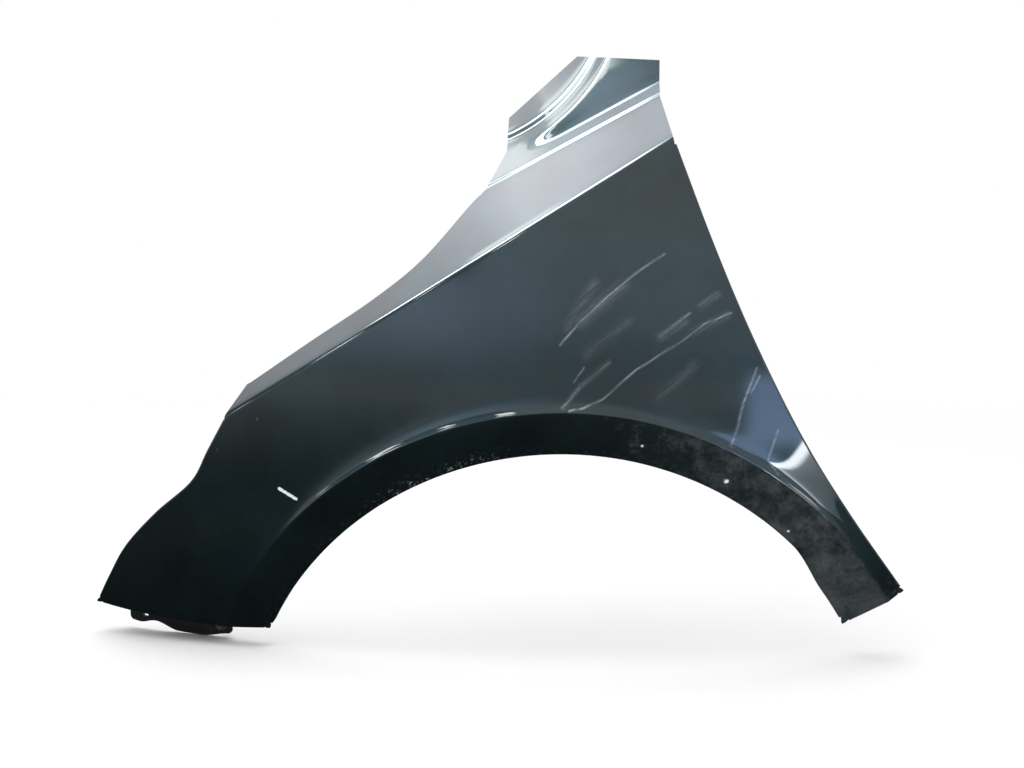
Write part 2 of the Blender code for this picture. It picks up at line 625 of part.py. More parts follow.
class Panel:
    """The pressed sheet's rows of points, zone by zone, and the tabs that hold it."""

    def __init__(self):
        self.layout = Layout()
        layout = self.layout
        outer = layout.outer_points()
        self.skin = lifted(skin_columns(layout))
        for column, row in ((0, 0), (0, -1), (-1, 0)):
            self.skin[column][row].y += FOLD_RADIUS
        self.shoulder = lifted(shoulder_columns(layout, outer))
        wall, strip = corner_columns(layout)
        self.wall, self.strip = lifted(wall), lifted(strip)
        self.sheets = [self.skin, self.shoulder, self.wall, self.strip]
        self.tabs = {}
        self.add_arch_lip()
        self.add_lamp_flange()
        self.add_bonnet_flange()
        self.add_door_flange()
        self.add_front_flange()
        self.add_foot_flange()

    def add_flange(self, frames, steps):
        self.sheets.append(flange_rows(frames, steps))

    def add_tabs(self, name, frames, steps, places, centres, width, turn, length):
        for number, centre in enumerate(centres):
            columns = tab_columns(places, centre, width)
            tab = Tab([frames[c] for c in columns], steps, turn, length, TAB_CORNER)
            self.sheets.append(tab.rows())
            self.tabs[f"{name}_{number + 1}"] = tab

    def add_arch_lip(self):
        edge = [column[0] for column in self.skin]
        inner = [column[1] for column in self.skin]
        self.add_flange(edge_frames(edge, inner)[1:-1], [(ARCH_LIP_TURN, FOLD_RADIUS, ARCH_LIP)])

    def add_lamp_flange(self):
        count = len(self.layout.lamp_places)
        edge = [column[-1] for column in self.skin[:count]]
        inner = [column[-2] for column in self.skin[:count]]
        frames = edge_frames(edge, inner)
        steps = [(LAMP_TURN, FOLD_RADIUS, LAMP_FLANGE)]
        self.add_flange(frames[1:-1], steps)
        places = self.layout.lamp_places
        centres = [share * places[-1] for share in LAMP_TAB_SHARES]
        self.add_tabs("lamp_tab", frames, steps, places, centres, TAB_WIDTH, LAMP_TAB_ANGLE, TAB_LENGTH)

    def add_bonnet_flange(self):
        count = len(self.layout.bonnet_places)
        edge = [column[-1] for column in self.shoulder[:count]]
        inner = [column[-2] for column in self.shoulder[:count]]
        frames = edge_frames(edge, inner)
        steps = [(BONNET_TURN, FOLD_RADIUS, BONNET_FLANGE)]
        self.add_flange(frames[1:-1], steps)
        places = self.layout.bonnet_places
        centres = [share * places[-1] for share in BONNET_TAB_SHARES]
        self.add_tabs("bonnet_tab", frames, steps, places, centres, TAB_WIDTH, BONNET_TAB_ANGLE, TAB_LENGTH)

    def add_door_flange(self):
        count = len(self.layout.door_places)
        edge = [column[-1] for column in self.skin[-count:]]
        inner = [column[-2] for column in self.skin[-count:]]
        frames = edge_frames(edge, inner)
        steps = [(DOOR_TURN, FOLD_RADIUS, DOOR_FLANGE)]
        self.add_flange(frames[1:-1], steps)
        places = self.layout.door_places
        centres = [share * places[-1] for share in DOOR_TAB_SHARES]
        self.add_tabs("pillar_tab", frames, steps, places, centres, TAB_WIDTH, DOOR_TAB_ANGLE, TAB_LENGTH)

    def add_front_flange(self):
        self.front_places = [FLARE_WIDTH * (share - 1) for share in BAND_ROW_SHARES] + [-FLARE_ROUND]
        self.front_places += self.layout.reach_places(front_edge_length())
        self.front_frames = steadied(edge_frames(self.skin[0], self.skin[1]))
        self.front_steps = [(FRONT_TURN, FOLD_RADIUS, FRONT_FLANGE)]
        self.add_flange(self.front_frames[1:-2], self.front_steps)
        self.add_tabs(
            "rail_tab", self.front_frames, self.front_steps, self.front_places,
            [RAIL_TAB_PLACE], RAIL_TAB_WIDTH, RAIL_TAB_ANGLE, RAIL_TAB_LENGTH,
        )

    def add_foot_flange(self):
        frames = steadied(edge_frames(self.skin[-1], self.skin[-2]))[1:-2]
        steps = [(FOOT_TURN, FOLD_RADIUS, FOOT_FLANGE)]
        self.add_flange(frames, steps)
        tab = Tab(frames, steps, 0, FOOT_TAB_LENGTH, TAB_CORNER)
        self.sheets.append(tab.rows())
        self.tabs["foot_tab_1"] = tab

    def front_frame(self, place):
        """The frame of the front lower edge at any distance past the flare's line."""
        for index, (a, b) in enumerate(zip(self.front_places, self.front_places[1:])):
            if place <= b:
                break
        share = (place - a) / (b - a)
        mixed = [p.lerp(q, share) for p, q in zip(self.front_frames[index], self.front_frames[index + 1])]
        return [mixed[0]] + [vector.normalized() for vector in mixed[1:]]

    def datum(self):
        """The part's origin: on the middle bonnet tab, beside its hole."""
        tab = self.tabs["bonnet_tab_2"]
        return tab.place(0.5) + tab.along * MOUNT_OFFSET


# Holes

def cutter(mesh, centre, axis, radius, slot=0.0, slot_way=None):
    """A round or slot-shaped cutter that runs past both faces of the sheet."""
    turn = axis.to_track_quat("Z", "Y").to_matrix().to_4x4()
    made = bmesh.ops.create_cone(
        mesh, cap_ends=True, segments=HOLE_SIDES, radius1=radius, radius2=radius,
        depth=2 * CUT_OVERRUN, matrix=Matrix.Translation(centre) @ turn,
    )
    if slot:
        for vert in made["verts"]:
            side = (vert.co - centre).dot(slot_way)
            vert.co += slot_way * math.copysign(slot / 2, side)


def panel_cutters(panel):
    mesh = bmesh.new()
    for name, tab in panel.tabs.items():
        start, way, normal = tab.flat_frame()
        if name.startswith("rail"):
            cutter(mesh, start + way * BOLT_DROP, normal, BOLT_RADIUS + CLEARANCE)
        elif name.startswith("foot"):
            cutter(mesh, tab.place(0.5), normal, TAB_HOLE_RADIUS, TAB_SLOT, tab.along)
        else:
            cutter(mesh, tab.place(0.5), normal, TAB_HOLE_RADIUS, TAB_SLOT, way)
    for angle in LINER_HOLE_ANGLES:
        edge = polar(ARCH_RADIUS, angle)
        centre = on_skin(edge.x, edge.y) + Vector((0.0, FOLD_RADIUS + ARCH_LIP * LINER_HOLE_SHARE, 0.0))
        axis = Vector((edge.x, 0.0, edge.y)).normalized()
        cutter(mesh, centre, axis, LINER_HOLE_RADIUS)
    return mesh


# The bumper rail

def rail_drop(place):
    """How far the rail's web hangs: two lobes with a notch between them and rounded ends."""
    drop = RAIL_DROPS[0]
    for start, end, low, high in zip(RAIL_PLACES, RAIL_PLACES[1:], RAIL_DROPS, RAIL_DROPS[1:]):
        drop += (high - low) * smooth_step((place - start) / (end - start))
    from_end = min(place - RAIL_PLACES[0], RAIL_PLACES[-1] - place)
    if from_end < RAIL_END_RADIUS:
        drop -= RAIL_END_RADIUS - math.sqrt(max(0.0, RAIL_END_RADIUS ** 2 - (RAIL_END_RADIUS - from_end) ** 2))
    return drop


def rail_section(panel, place):
    """The rail's L section in the frame of the lower edge: a leg under the flange and a hanging web."""
    point, _, outward, inboard = panel.front_frame(place)
    flange = Vector(fold_profile(panel.front_steps)[-1])
    bend = Vector(fold_profile(panel.front_steps + [(RAIL_TAB_ANGLE, TAB_FOLD_RADIUS, 0.0)])[-1])
    up = math.radians(FRONT_TURN)
    down = math.radians(FRONT_TURN + RAIL_TAB_ANGLE)
    along_flange, below = Vector((math.cos(up), math.sin(up))), Vector((math.sin(up), -math.cos(up)))
    along_web, before = Vector((math.cos(down), math.sin(down))), Vector((math.sin(down), -math.cos(down)))
    leg = flange + below * LEG_CLEARANCE
    web = bend + before * CLEARANCE
    drop = rail_drop(place)
    inner = web + before * RAIL_WALL
    reach = (inner - leg).dot(below)
    corner = inner + along_web * (RAIL_WALL - reach)
    outline = [
        leg - along_flange * RAIL_LEG,
        leg,
        web,
        web + along_web * drop,
        web + along_web * drop + before * RAIL_WALL,
        corner,
        leg - along_flange * RAIL_LEG + below * RAIL_WALL,
    ]
    return [point + outward * spot.x + inboard * spot.y for spot in outline]


def loft_solid(mesh, sections, closed=False):
    """A solid through closed sections: capped at both ends, or joined end to end as a ring."""
    rings = [[mesh.verts.new(point) for point in section] for section in sections]
    pairs = list(zip(rings, rings[1:] + rings[:1] if closed else rings[1:]))
    for lower, upper in pairs:
        for index in range(len(lower)):
            after = (index + 1) % len(lower)
            mesh.faces.new((lower[index], lower[after], upper[after], upper[index]))
    if not closed:
        mesh.faces.new(rings[0])
        mesh.faces.new(rings[-1])
    bmesh.ops.recalc_face_normals(mesh, faces=mesh.faces)


def build_rail(panel):
    mesh = bmesh.new()
    rounding = [RAIL_END_RADIUS * (1 - math.cos(math.radians(angle))) for angle in RAIL_END_ANGLES]
    first, last = RAIL_PLACES[0] + RAIL_END_RADIUS, RAIL_PLACES[-1] - RAIL_END_RADIUS
    places = [RAIL_PLACES[0] + part for part in rounding]
    folds = [place - first for place in panel.front_places if first < place < last]
    places += [first + place for place in stations(last - first, folds, RAIL_STEP)]
    places += [RAIL_PLACES[-1] - part for part in reversed(rounding)]
    loft_solid(mesh, [rail_section(panel, place) for place in places])
    return mesh


def bolt_frame(panel):
    """The bolt's axis: on the rail tab's outer face, pointing outboard."""
    start, way, normal = panel.tabs["rail_tab_1"].flat_frame()
    return start + way * BOLT_DROP, normal, way


def round_section(frame, distance, radius, flats=0):
    """A circle, or a polygon of the same number of points, across the bolt's axis."""
    centre, axis, way = frame
    side = axis.cross(way)
    points = []
    for step in range(ROUND_STEPS):
        angle = 2 * math.pi * step / ROUND_STEPS
        reach = radius
        if flats:
            half = math.pi / flats
            reach = radius / math.cos((angle + half) % (2 * half) - half)
        spot = way * math.cos(angle) + side * math.sin(angle)
        points.append(centre + axis * distance + spot * reach)
    return points


def build_bolt(panel):
    frame = bolt_frame(panel)
    seat = 2 * CLEARANCE + RAIL_WALL
    top = seat + BOLT_FLANGE + BOLT_HEAD
    mesh = bmesh.new()
    loft_solid(mesh, [
        round_section(frame, top, BOLT_HEAD_RADIUS - BOLT_CHAMFER),
        round_section(frame, top - BOLT_CHAMFER, BOLT_HEAD_RADIUS, HEAD_FLATS),
        round_section(frame, seat + BOLT_FLANGE, BOLT_HEAD_RADIUS, HEAD_FLATS),
        round_section(frame, seat + BOLT_FLANGE / 2, BOLT_FLANGE_RADIUS),
        round_section(frame, seat, BOLT_FLANGE_RADIUS),
        round_section(frame, seat, BOLT_RADIUS),
        round_section(frame, seat - BOLT_LENGTH + BOLT_CHAMFER, BOLT_RADIUS),
        round_section(frame, seat - BOLT_LENGTH, BOLT_RADIUS - BOLT_CHAMFER),
    ])
    return mesh


def build_nut(panel):
    frame = bolt_frame(panel)
    near = -(SHEET + CLEARANCE)
    far = near - NUT_HEIGHT
    bore = BOLT_RADIUS + CLEARANCE
    mesh = bmesh.new()
    loft_solid(mesh, [
        round_section(frame, near, bore),
        round_section(frame, near, NUT_HALF_SIDE, NUT_FLATS),
        round_section(frame, far, NUT_HALF_SIDE, NUT_FLATS),
        round_section(frame, far, bore),
    ], closed=True)
    return mesh


def rail_cutters(panel):
    mesh = bmesh.new()
    centre, normal, _ = bolt_frame(panel)
    middle = CLEARANCE + RAIL_WALL / 2
    cutter(mesh, centre + normal * middle, normal, BOLT_RADIUS + CLEARANCE)
    point, _, outward, inboard = panel.front_frame(RAIL_HOLE_PLACE)
    bend = Vector(fold_profile(panel.front_steps + [(RAIL_TAB_ANGLE, TAB_FOLD_RADIUS, 0.0)])[-1])
    down = math.radians(FRONT_TURN + RAIL_TAB_ANGLE)
    spot = bend + Vector((math.cos(down), math.sin(down))) * RAIL_HOLE_DROP
    spot += Vector((math.sin(down), -math.cos(down))) * middle
    axis = outward * math.sin(down) - inboard * math.cos(down)
    cutter(mesh, point + outward * spot.x + inboard * spot.y, axis, RAIL_HOLE_RADIUS)
    return mesh


# Objects and materials

def material(name, colour, metallic, roughness, coat=0.0):
    made = bpy.data.materials.new(name)
    made.use_nodes = True
    shader = made.node_tree.nodes["Principled BSDF"]
    shader.inputs["Base Color"].default_value = (*colour, 1.0)
    shader.inputs["Metallic"].default_value = metallic
    shader.inputs["Roughness"].default_value = roughness
    shader.inputs["Coat Weight"].default_value = coat
    made.diffuse_color = (*colour, 1.0)
    return made


def add_object(name, mesh, finish, datum):
    data = bpy.data.meshes.new(name)
    mesh.to_mesh(data)
    mesh.free()
    made = bpy.data.objects.new(name, data)
    made.location = -datum
    bpy.context.scene.collection.objects.link(made)
    if finish:
        data.materials.append(finish)
    data.shade_smooth()
    data.set_sharp_from_angle(angle=math.radians(SHARP_ANGLE))
    return made


def cut(target, mesh, datum):
    """Takes the cutters away from an object, and keeps them out of a render."""
    tool = add_object(target.name + "_cutters", mesh, None, datum)
    tool.hide_render = True
    tool.display_type = "WIRE"
    holes = target.modifiers.new("holes", "BOOLEAN")
    holes.operation = "DIFFERENCE"
    holes.solver = "EXACT"
    holes.object = tool


def build_panel(panel):
    mesh = bmesh.new()
    for rows in panel.sheets:
        loft(mesh, rows)
    bmesh.ops.remove_doubles(mesh, verts=mesh.verts, dist=MERGE_DISTANCE)
    bmesh.ops.recalc_face_normals(mesh, faces=mesh.faces)
    if sum(face.normal.y * face.calc_area() for face in mesh.faces) > 0:
        bmesh.ops.reverse_faces(mesh, faces=mesh.faces)
    return mesh


def main():
    clear_scene()
    panel = Panel()
    datum = panel.datum()
    paint = material("petrol_paint", (0.018, 0.036, 0.046), 0.6, 0.35, 1.0)
    black = material("black_rail", (0.012, 0.012, 0.012), 0.0, 0.5)
    zinc = material("zinc_plate", (0.62, 0.62, 0.60), 1.0, 0.3)
    sheet = add_object("fender_panel", build_panel(panel), paint, datum)
    wall = sheet.modifiers.new("sheet", "SOLIDIFY")
    wall.thickness = SHEET
    wall.offset = -1
    wall.use_even_offset = True
    cut(sheet, panel_cutters(panel), datum)
    rail = add_object("bumper_rail", build_rail(panel), black, datum)
    cut(rail, rail_cutters(panel), datum)
    add_object("rail_bolt", build_bolt(panel), zinc, datum)
    add_object("rail_nut", build_nut(panel), zinc, datum)


if __name__ == "__main__":
    main()
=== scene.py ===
# %% [markdown]
# # A scratched front fender
# The real object is one pressed steel sheet, painted a dark petrol metallic under clear coat, with
# a black rail, a bolt and a nut under its front corner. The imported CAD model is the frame: it says
# where everything is. Its flat facets would show in a glossy paint, so this scene makes the same
# forms again on fine grids and then spends its effort on the paint, its scratches and the light.

# %% Load the frame
import json
import math

import bmesh
import bpy
from mathutils import Matrix, Vector

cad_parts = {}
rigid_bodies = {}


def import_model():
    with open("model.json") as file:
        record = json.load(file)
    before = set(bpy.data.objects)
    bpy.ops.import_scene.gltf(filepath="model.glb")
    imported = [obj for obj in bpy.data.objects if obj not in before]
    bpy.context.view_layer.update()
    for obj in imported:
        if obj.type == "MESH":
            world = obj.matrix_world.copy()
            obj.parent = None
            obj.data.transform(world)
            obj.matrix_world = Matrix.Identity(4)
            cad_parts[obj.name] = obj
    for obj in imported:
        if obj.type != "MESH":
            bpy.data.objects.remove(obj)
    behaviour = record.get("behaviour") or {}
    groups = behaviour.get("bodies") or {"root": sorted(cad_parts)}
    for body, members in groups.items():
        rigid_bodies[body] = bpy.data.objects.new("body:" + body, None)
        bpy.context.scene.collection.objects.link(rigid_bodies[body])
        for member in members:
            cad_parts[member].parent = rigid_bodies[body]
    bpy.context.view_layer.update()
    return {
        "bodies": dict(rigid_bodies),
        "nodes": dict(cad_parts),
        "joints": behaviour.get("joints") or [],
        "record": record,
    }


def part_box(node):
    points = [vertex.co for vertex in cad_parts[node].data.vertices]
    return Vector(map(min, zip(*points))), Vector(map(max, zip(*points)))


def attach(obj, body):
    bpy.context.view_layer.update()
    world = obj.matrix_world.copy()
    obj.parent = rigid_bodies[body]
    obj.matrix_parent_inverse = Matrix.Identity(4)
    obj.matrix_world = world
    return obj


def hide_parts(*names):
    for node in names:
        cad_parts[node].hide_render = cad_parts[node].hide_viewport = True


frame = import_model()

# %% [markdown]
# ## The side view
# The fender is drawn in side view from the wheel's centre: x runs rearward, z up, and y is how deep
# a point lies behind the widest place. The sizes are those of the CAD source. DATUM is the place of
# the CAD's origin in that drawing, so taking it away puts every point where the CAD has it. Each
# corner is given by its angle round the wheel and its reach past the flare of the arch.

# %% The wheel arch
DATUM = Vector((-0.18665, 0.07478, 0.50957))
SHEET, FOLD_RADIUS, MERGE = 0.0008, 0.0022, 0.00001
ARCH_RADIUS, FLARE_WIDTH, FLARE_ROUND = 0.3605, 0.0475, 0.0015


def polar(radius, angle):
    """A point of the side view, by its distance from the wheel's centre and angle from straight up."""
    return Vector((radius * math.sin(math.radians(angle)), radius * math.cos(math.radians(angle))))


print("sheet", SHEET * 1000, "mm, arch radius", ARCH_RADIUS * 1000, "mm")


# %% Corners of the side view
def corner(angle, reach):
    return polar(ARCH_RADIUS + FLARE_WIDTH + reach, angle)


TIP, FOOT = corner(-72.84, 0.1530), corner(60.95, 0.0204)
CREASE_FRONT, CREASE_REAR = corner(-42.98, 0.1353), corner(9.54, 0.3037)
SHOULDER_CORNER, BONNET_END = corner(-39.09, 0.1441), corner(-7.40, 0.2399)
RIDGE_END, SCREEN_CORNER = corner(8.25, 0.3448), corner(7.93, 0.3838)
BEAD_START, BEAD_END = corner(-5.04, 0.2784), corner(3.68, 0.3808)
STRIP_START, STRIP_END = corner(-4.61, 0.3145), corner(1.36, 0.3812)
print("from the tip to the foot:", round((FOOT - TIP).length * 1000), "mm")

# %% [markdown]
# ## The skin as one formula
# A pressed panel is a gentle curve with folds in it. Each fold is a ramp that starts from nothing at
# a line, with a short arc where it bends. Adding the ramps to the large curves gives one depth for
# every point of the side view, so neighbouring zones always meet, and the reflections run smoothly.


# %% A fold
def smooth_step(value):
    value = min(1.0, max(0.0, value))
    return value * value * (3 - 2 * value)


def soft_ramp(value, reach):
    """Zero below a fold and rising evenly past it, with an arc over the reach on either side."""
    if value <= -reach:
        return 0.0
    if value >= reach:
        return value
    return (value + reach) ** 2 / (4 * reach)


print("a fold's ramp:", [round(soft_ramp(value / 2, 1), 2) for value in range(-2, 3)])

# %% The body's large curves
NOSE_TUCK, NOSE_START, NOSE_RUN, NOSE_POWER = 0.120, 0.060, 0.590, 2.3
TAIL_TUCK, TAIL_RUN, CROWN_LEAN, CROWN_RUN, WAIST = 0.006, 0.370, 0.040, 0.330, 0.370


def body_depth(x, z):
    """The nose turns in a lot, the tail a little, and the top and the foot lean in."""
    nose = max(0.0, (NOSE_START - x) / NOSE_RUN)
    tail = max(0.0, x / TAIL_RUN)
    crown = (z - WAIST) / CROWN_RUN
    return NOSE_TUCK * nose ** NOSE_POWER + TAIL_TUCK * tail ** 2 + CROWN_LEAN * crown ** 2


print("the nose turns in by", round(body_depth(*TIP) * 1000), "mm")

# %% The flare round the arch
FLARE_RISE, FLARE_SPREAD, BAND_SLOPE = 0.003, 0.006, 0.17
FLARE_FADE_ANGLES, FLARE_END_SHARE = (38, 60), 0.3


def flare_depth(x, z):
    beyond = math.hypot(x, z) - ARCH_RADIUS - FLARE_WIDTH
    angle = abs(math.degrees(math.atan2(x, z)))
    start, end = FLARE_FADE_ANGLES
    fade = 1 - (1 - FLARE_END_SHARE) * smooth_step((angle - start) / (end - start))
    rise = FLARE_RISE * (1 - math.exp(-soft_ramp(beyond, FLARE_ROUND) / FLARE_SPREAD))
    return fade * (rise + BAND_SLOPE * soft_ramp(-beyond, FLARE_ROUND))


print("the arch's edge lies", round(flare_depth(0, ARCH_RADIUS) * 1000, 1), "mm behind the flare")

# %% The crease and the shoulder
SHOULDER_SLOPE, SHOULDER_CURVE, CREASE_ROUND, CREASE_BOW = 1.20, 1.5, 0.003, 0.001


def line_place(x, z, start, end):
    """How far a point lies above a line, and its share of the way along it."""
    dx, dz = end[0] - start[0], end[1] - start[1]
    length = math.hypot(dx, dz)
    above = ((z - start[1]) * dx - (x - start[0]) * dz) / length
    return above, ((x - start[0]) * dx + (z - start[1]) * dz) / length ** 2


def shoulder_depth(x, z):
    above, along = line_place(x, z, CREASE_FRONT, CREASE_REAR)
    height = soft_ramp(above - CREASE_BOW * 4 * along * (1 - along), CREASE_ROUND)
    return SHOULDER_SLOPE * height + SHOULDER_CURVE * height ** 2 / 2


print("the bonnet's edge lies", round(shoulder_depth(*BONNET_END) * 1000), "mm behind the crease")

# %% The stepped corner
STEP_TURN, STEP_ROUND = -1.05, 0.0016
LEDGE_TURN, LEDGE_ROUND, LEDGE_START = 0.70, 0.0015, 0.0035
WALL_TURN, WALL_ROUND, WALL_START, WALL_FADE = -0.80, 0.003, 0.0125, (0.18, 0.48)
BEAD_TURN, BEAD_ROUND, BEAD_RADIUS = 0.80, 0.003, 0.2114
GROOVE_TURN, GROOVE_ROUND, GROOVE_START = -0.75, 0.002, 0.010
STRIP_TURN, STRIP_ROUND, STRIP_RISE = 0.70, 0.003, 0.018

half_bead = (BEAD_END - BEAD_START) / 2
bead_rise = math.sqrt(BEAD_RADIUS ** 2 - half_bead.length_squared)
BEAD_CENTRE = BEAD_START + half_bead + Vector((-half_bead.y, half_bead.x)).normalized() * bead_rise


def corner_depth(x, z):
    above, along = line_place(x, z, BONNET_END, RIDGE_END)
    wall = smooth_step((along - WALL_FADE[0]) / (WALL_FADE[1] - WALL_FADE[0]))
    past = BEAD_RADIUS - (Vector((x, z)) - BEAD_CENTRE).length
    return (
        STEP_TURN * soft_ramp(above, STEP_ROUND)
        + LEDGE_TURN * soft_ramp(above - LEDGE_START, LEDGE_ROUND)
        + WALL_TURN * wall * soft_ramp(above - WALL_START, WALL_ROUND)
        + BEAD_TURN * wall * soft_ramp(past, BEAD_ROUND)
        + GROOVE_TURN * soft_ramp(past - GROOVE_START, GROOVE_ROUND)
        + STRIP_TURN * soft_ramp(past - STRIP_RISE, STRIP_ROUND)
    )


print("the bead's arc is centred on", [round(v, 3) for v in BEAD_CENTRE])


# %% The whole skin
def on_skin(point):
    x, z = point
    depth = body_depth(x, z) + flare_depth(x, z) + shoulder_depth(x, z) + corner_depth(x, z)
    return Vector((x, depth, z))


print("the screen corner lies", round(on_skin(SCREEN_CORNER).y * 1000), "mm deep")

# %% [markdown]
# ## The edges
# The cut edges come from the die: a lamp edge, a bonnet edge, a door edge and an arc for the wheel.
# Each is a smooth curve through a few points given as shares of the box between its two corners.
# Every edge is then divided evenly, with a division at both sides of each tab.

# %% Curves
LAMP_EDGE = ((0, 0), (0.10, 0.14), (0.24, 0.31), (0.47, 0.49), (0.735, 0.66), (0.86, 0.82), (1, 1))
BONNET_EDGE = ((0, 0), (0.275, 0.235), (0.545, 0.46), (0.745, 0.66), (0.94, 0.93), (1, 1))
DOOR_EDGE = ((0, 0), (0.165, 0.227), (0.335, 0.433), (0.54, 0.643), (0.75, 0.817), (1, 1))
PATH_STEPS = 16


def curve_between(start, end, shares):
    """A smooth curve through the points, as a chain of short straights."""
    box = end - start
    knots = [start + Vector((a * box.x, b * box.y)) for a, b in shares]
    knots = [2 * knots[0] - knots[1]] + knots + [2 * knots[-1] - knots[-2]]
    points = []
    for before, a, b, after in zip(knots, knots[1:], knots[2:], knots[3:]):
        for step in range(PATH_STEPS):
            t = step / PATH_STEPS
            square = (before - a * 5 / 2 + b * 2 - after / 2) * t ** 2
            points.append(a + (b - before) * t / 2 + square + ((a - b) * 3 + after - before) * t ** 3 / 2)
    return points + [end]


def running_lengths(points):
    """How far each point lies along a chain of points."""
    lengths = [0.0]
    for a, b in zip(points, points[1:]):
        lengths.append(lengths[-1] + (b - a).length)
    return lengths


lamp_path = curve_between(TIP, CREASE_FRONT, LAMP_EDGE)
bonnet_path = curve_between(SHOULDER_CORNER, BONNET_END, BONNET_EDGE)
door_path = curve_between(CREASE_REAR, FOOT, DOOR_EDGE)
for name, path in (("lamp", lamp_path), ("bonnet", bonnet_path), ("door", door_path)):
    print(name, "edge:", round(running_lengths(path)[-1] * 1000), "mm")

# %% Divisions
FLANGE_RELIEF, RELIEF_RUN, TAB_WIDTH, TAB_CORNER, COLUMN_STEP = 0.007, 0.0045, 0.030, 0.007, 0.004
BONNET_TABS, DOOR_TABS, LAMP_TABS, BEAD_SHARE = (0.12, 0.50, 0.83), (0.09, 0.55), (0.60,), 0.60


def stations(length, marks, step):
    """Places along a length with one at each mark, and about a step apart in between."""
    fixed = [0.0] + sorted(marks) + [length]
    places = []
    for a, b in zip(fixed, fixed[1:]):
        count = max(1, round((b - a) / step))
        places += [a + (b - a) * k / count for k in range(count)]
    return places + [length]


def tab_marks(centre, width):
    half = width / 2
    return [centre - half, centre - half + TAB_CORNER, centre + half - TAB_CORNER, centre + half]


def edge_places(path, tab_shares):
    length = running_lengths(path)[-1]
    marks = [mark for share in tab_shares for mark in tab_marks(share * length, TAB_WIDTH)]
    ends = [FLANGE_RELIEF - RELIEF_RUN, FLANGE_RELIEF - RELIEF_RUN / 2, FLANGE_RELIEF]
    return stations(length, ends + marks + [length - end for end in reversed(ends)], COLUMN_STEP)


lamp_places = edge_places(lamp_path, LAMP_TABS)
bonnet_places = edge_places(bonnet_path, BONNET_TABS)
door_places = edge_places(door_path, DOOR_TABS)
ridge_length = (RIDGE_END - BONNET_END).length
ridge_places = stations(ridge_length, [BEAD_SHARE * ridge_length], COLUMN_STEP)
print("divisions:", len(lamp_places), len(bonnet_places), len(ridge_places), len(door_places))

# %% Outer ends of the main skin's columns
BONNET_SHARE = 0.54


def mix(a, b, share):
    return a + (b - a) * share


def along_path(points, share):
    lengths = [(b - a).length for a, b in zip(points, points[1:])]
    left = share * sum(lengths)
    for a, b, length in zip(points, points[1:], lengths):
        if left <= length:
            return a.lerp(b, left / length)
        left -= length
    return points[-1].copy()


def crease_point(share):
    across = (CREASE_REAR - CREASE_FRONT).normalized()
    bow = CREASE_BOW * 4 * share * (1 - share)
    return CREASE_FRONT.lerp(CREASE_REAR, share) + Vector((-across.y, across.x)) * bow


crease_shares = [BONNET_SHARE * place / bonnet_places[-1] for place in bonnet_places[:-1]]
crease_shares += [mix(BONNET_SHARE, 1, place / ridge_places[-1]) for place in ridge_places]
outer = [along_path(lamp_path, place / lamp_places[-1]) for place in lamp_places[:-1]]
outer += [crease_point(share) for share in crease_shares]
outer += [along_path(door_path, place / door_places[-1]) for place in door_places[1:]]
last_lamp, first_door = len(lamp_places) - 1, len(outer) - len(door_places)
print(len(outer), "columns, the crease from", last_lamp, "to", first_door)

# %% [markdown]
# ## Grids laid on the formula
# A grid is the right start for a pressed sheet: its rows follow the wheel arch and its columns run
# out to the edges, so folds lie along rows. create_grid makes the faces, and each vertex is then
# moved to its own place. Rows crowd together at a fold and stay wide apart on the plain skin. Near a
# free corner the edge stops a little short and rolls in, so that the flange can start from nothing.

# %% Angles and rolled ends
ARCH_TAIL_DROP, ARCH_TAIL_ANGLES = 0.0085, (44, 54)


def angle_of(point):
    return math.degrees(math.atan2(point[0], point[1]))


def arch_radius(angle):
    start, end = ARCH_TAIL_ANGLES
    return ARCH_RADIUS - ARCH_TAIL_DROP * smooth_step((angle - start) / (end - start))


def remap(angle, inner):
    """An angle of the outer edge as one of an inner arc, which meets it at the crease's ends."""
    low, high = angle_of(CREASE_FRONT), angle_of(CREASE_REAR)
    front, rear = angle_of(TIP), angle_of(FOOT)
    if angle < low:
        return mix(inner[0], low, (angle - front) / (low - front))
    if angle > high:
        return mix(high, inner[1], (angle - high) / (rear - high))
    return angle


def roll(distance):
    """How far an edge stops short of its outline, and rolls in, this far from a free corner."""
    turn = min(1.0, max(0.0, (FLANGE_RELIEF - distance) / RELIEF_RUN)) * math.pi / 2
    return FOLD_RADIUS * (1 - math.sin(turn)), FOLD_RADIUS * (1 - math.cos(turn))


def pull(place, length):
    return roll(min(place, length - place))[0]


print("the arch's tail lies", round(arch_radius(FLARE_FADE_ANGLES[1]) * 1000, 1), "mm from the centre")

# %% Rows from the flare outwards
ARCH_ANGLES, FLARE_ANGLES, ROW_STEP = (-64.9, 61.3), (-68.3, 61.4), 0.007
RAIL_TAB_WIDTH, RAIL_TAB_PLACE = 0.022, 0.0185

front_edge = (TIP - polar(ARCH_RADIUS + FLARE_WIDTH, FLARE_ANGLES[0])).length
front_marks = tab_marks(RAIL_TAB_PLACE, RAIL_TAB_WIDTH)
front_marks += [front_edge - FLANGE_RELIEF + RELIEF_RUN * part for part in (0, 0.5, 1)]
reach_shares = [place / front_edge for place in stations(front_edge, front_marks, ROW_STEP)]


def reach_places(reach):
    """Places from the flare's line to the outer edge, crowded at both of their folds."""
    spread = [share * reach for share in reach_shares[1:-1]]
    first, last = min(FLARE_ROUND, spread[0] / 2), min(CREASE_ROUND, (reach - spread[-1]) / 2)
    places = [0.0, first / 2, first] + [mix(first, spread[0], part) for part in (0.25, 0.5, 0.75)]
    return places + spread + [reach - last * part for part in (1, 0.75, 0.5, 0.25, 0)]


print(len(reach_places(front_edge)), "rows from the flare to the edge")

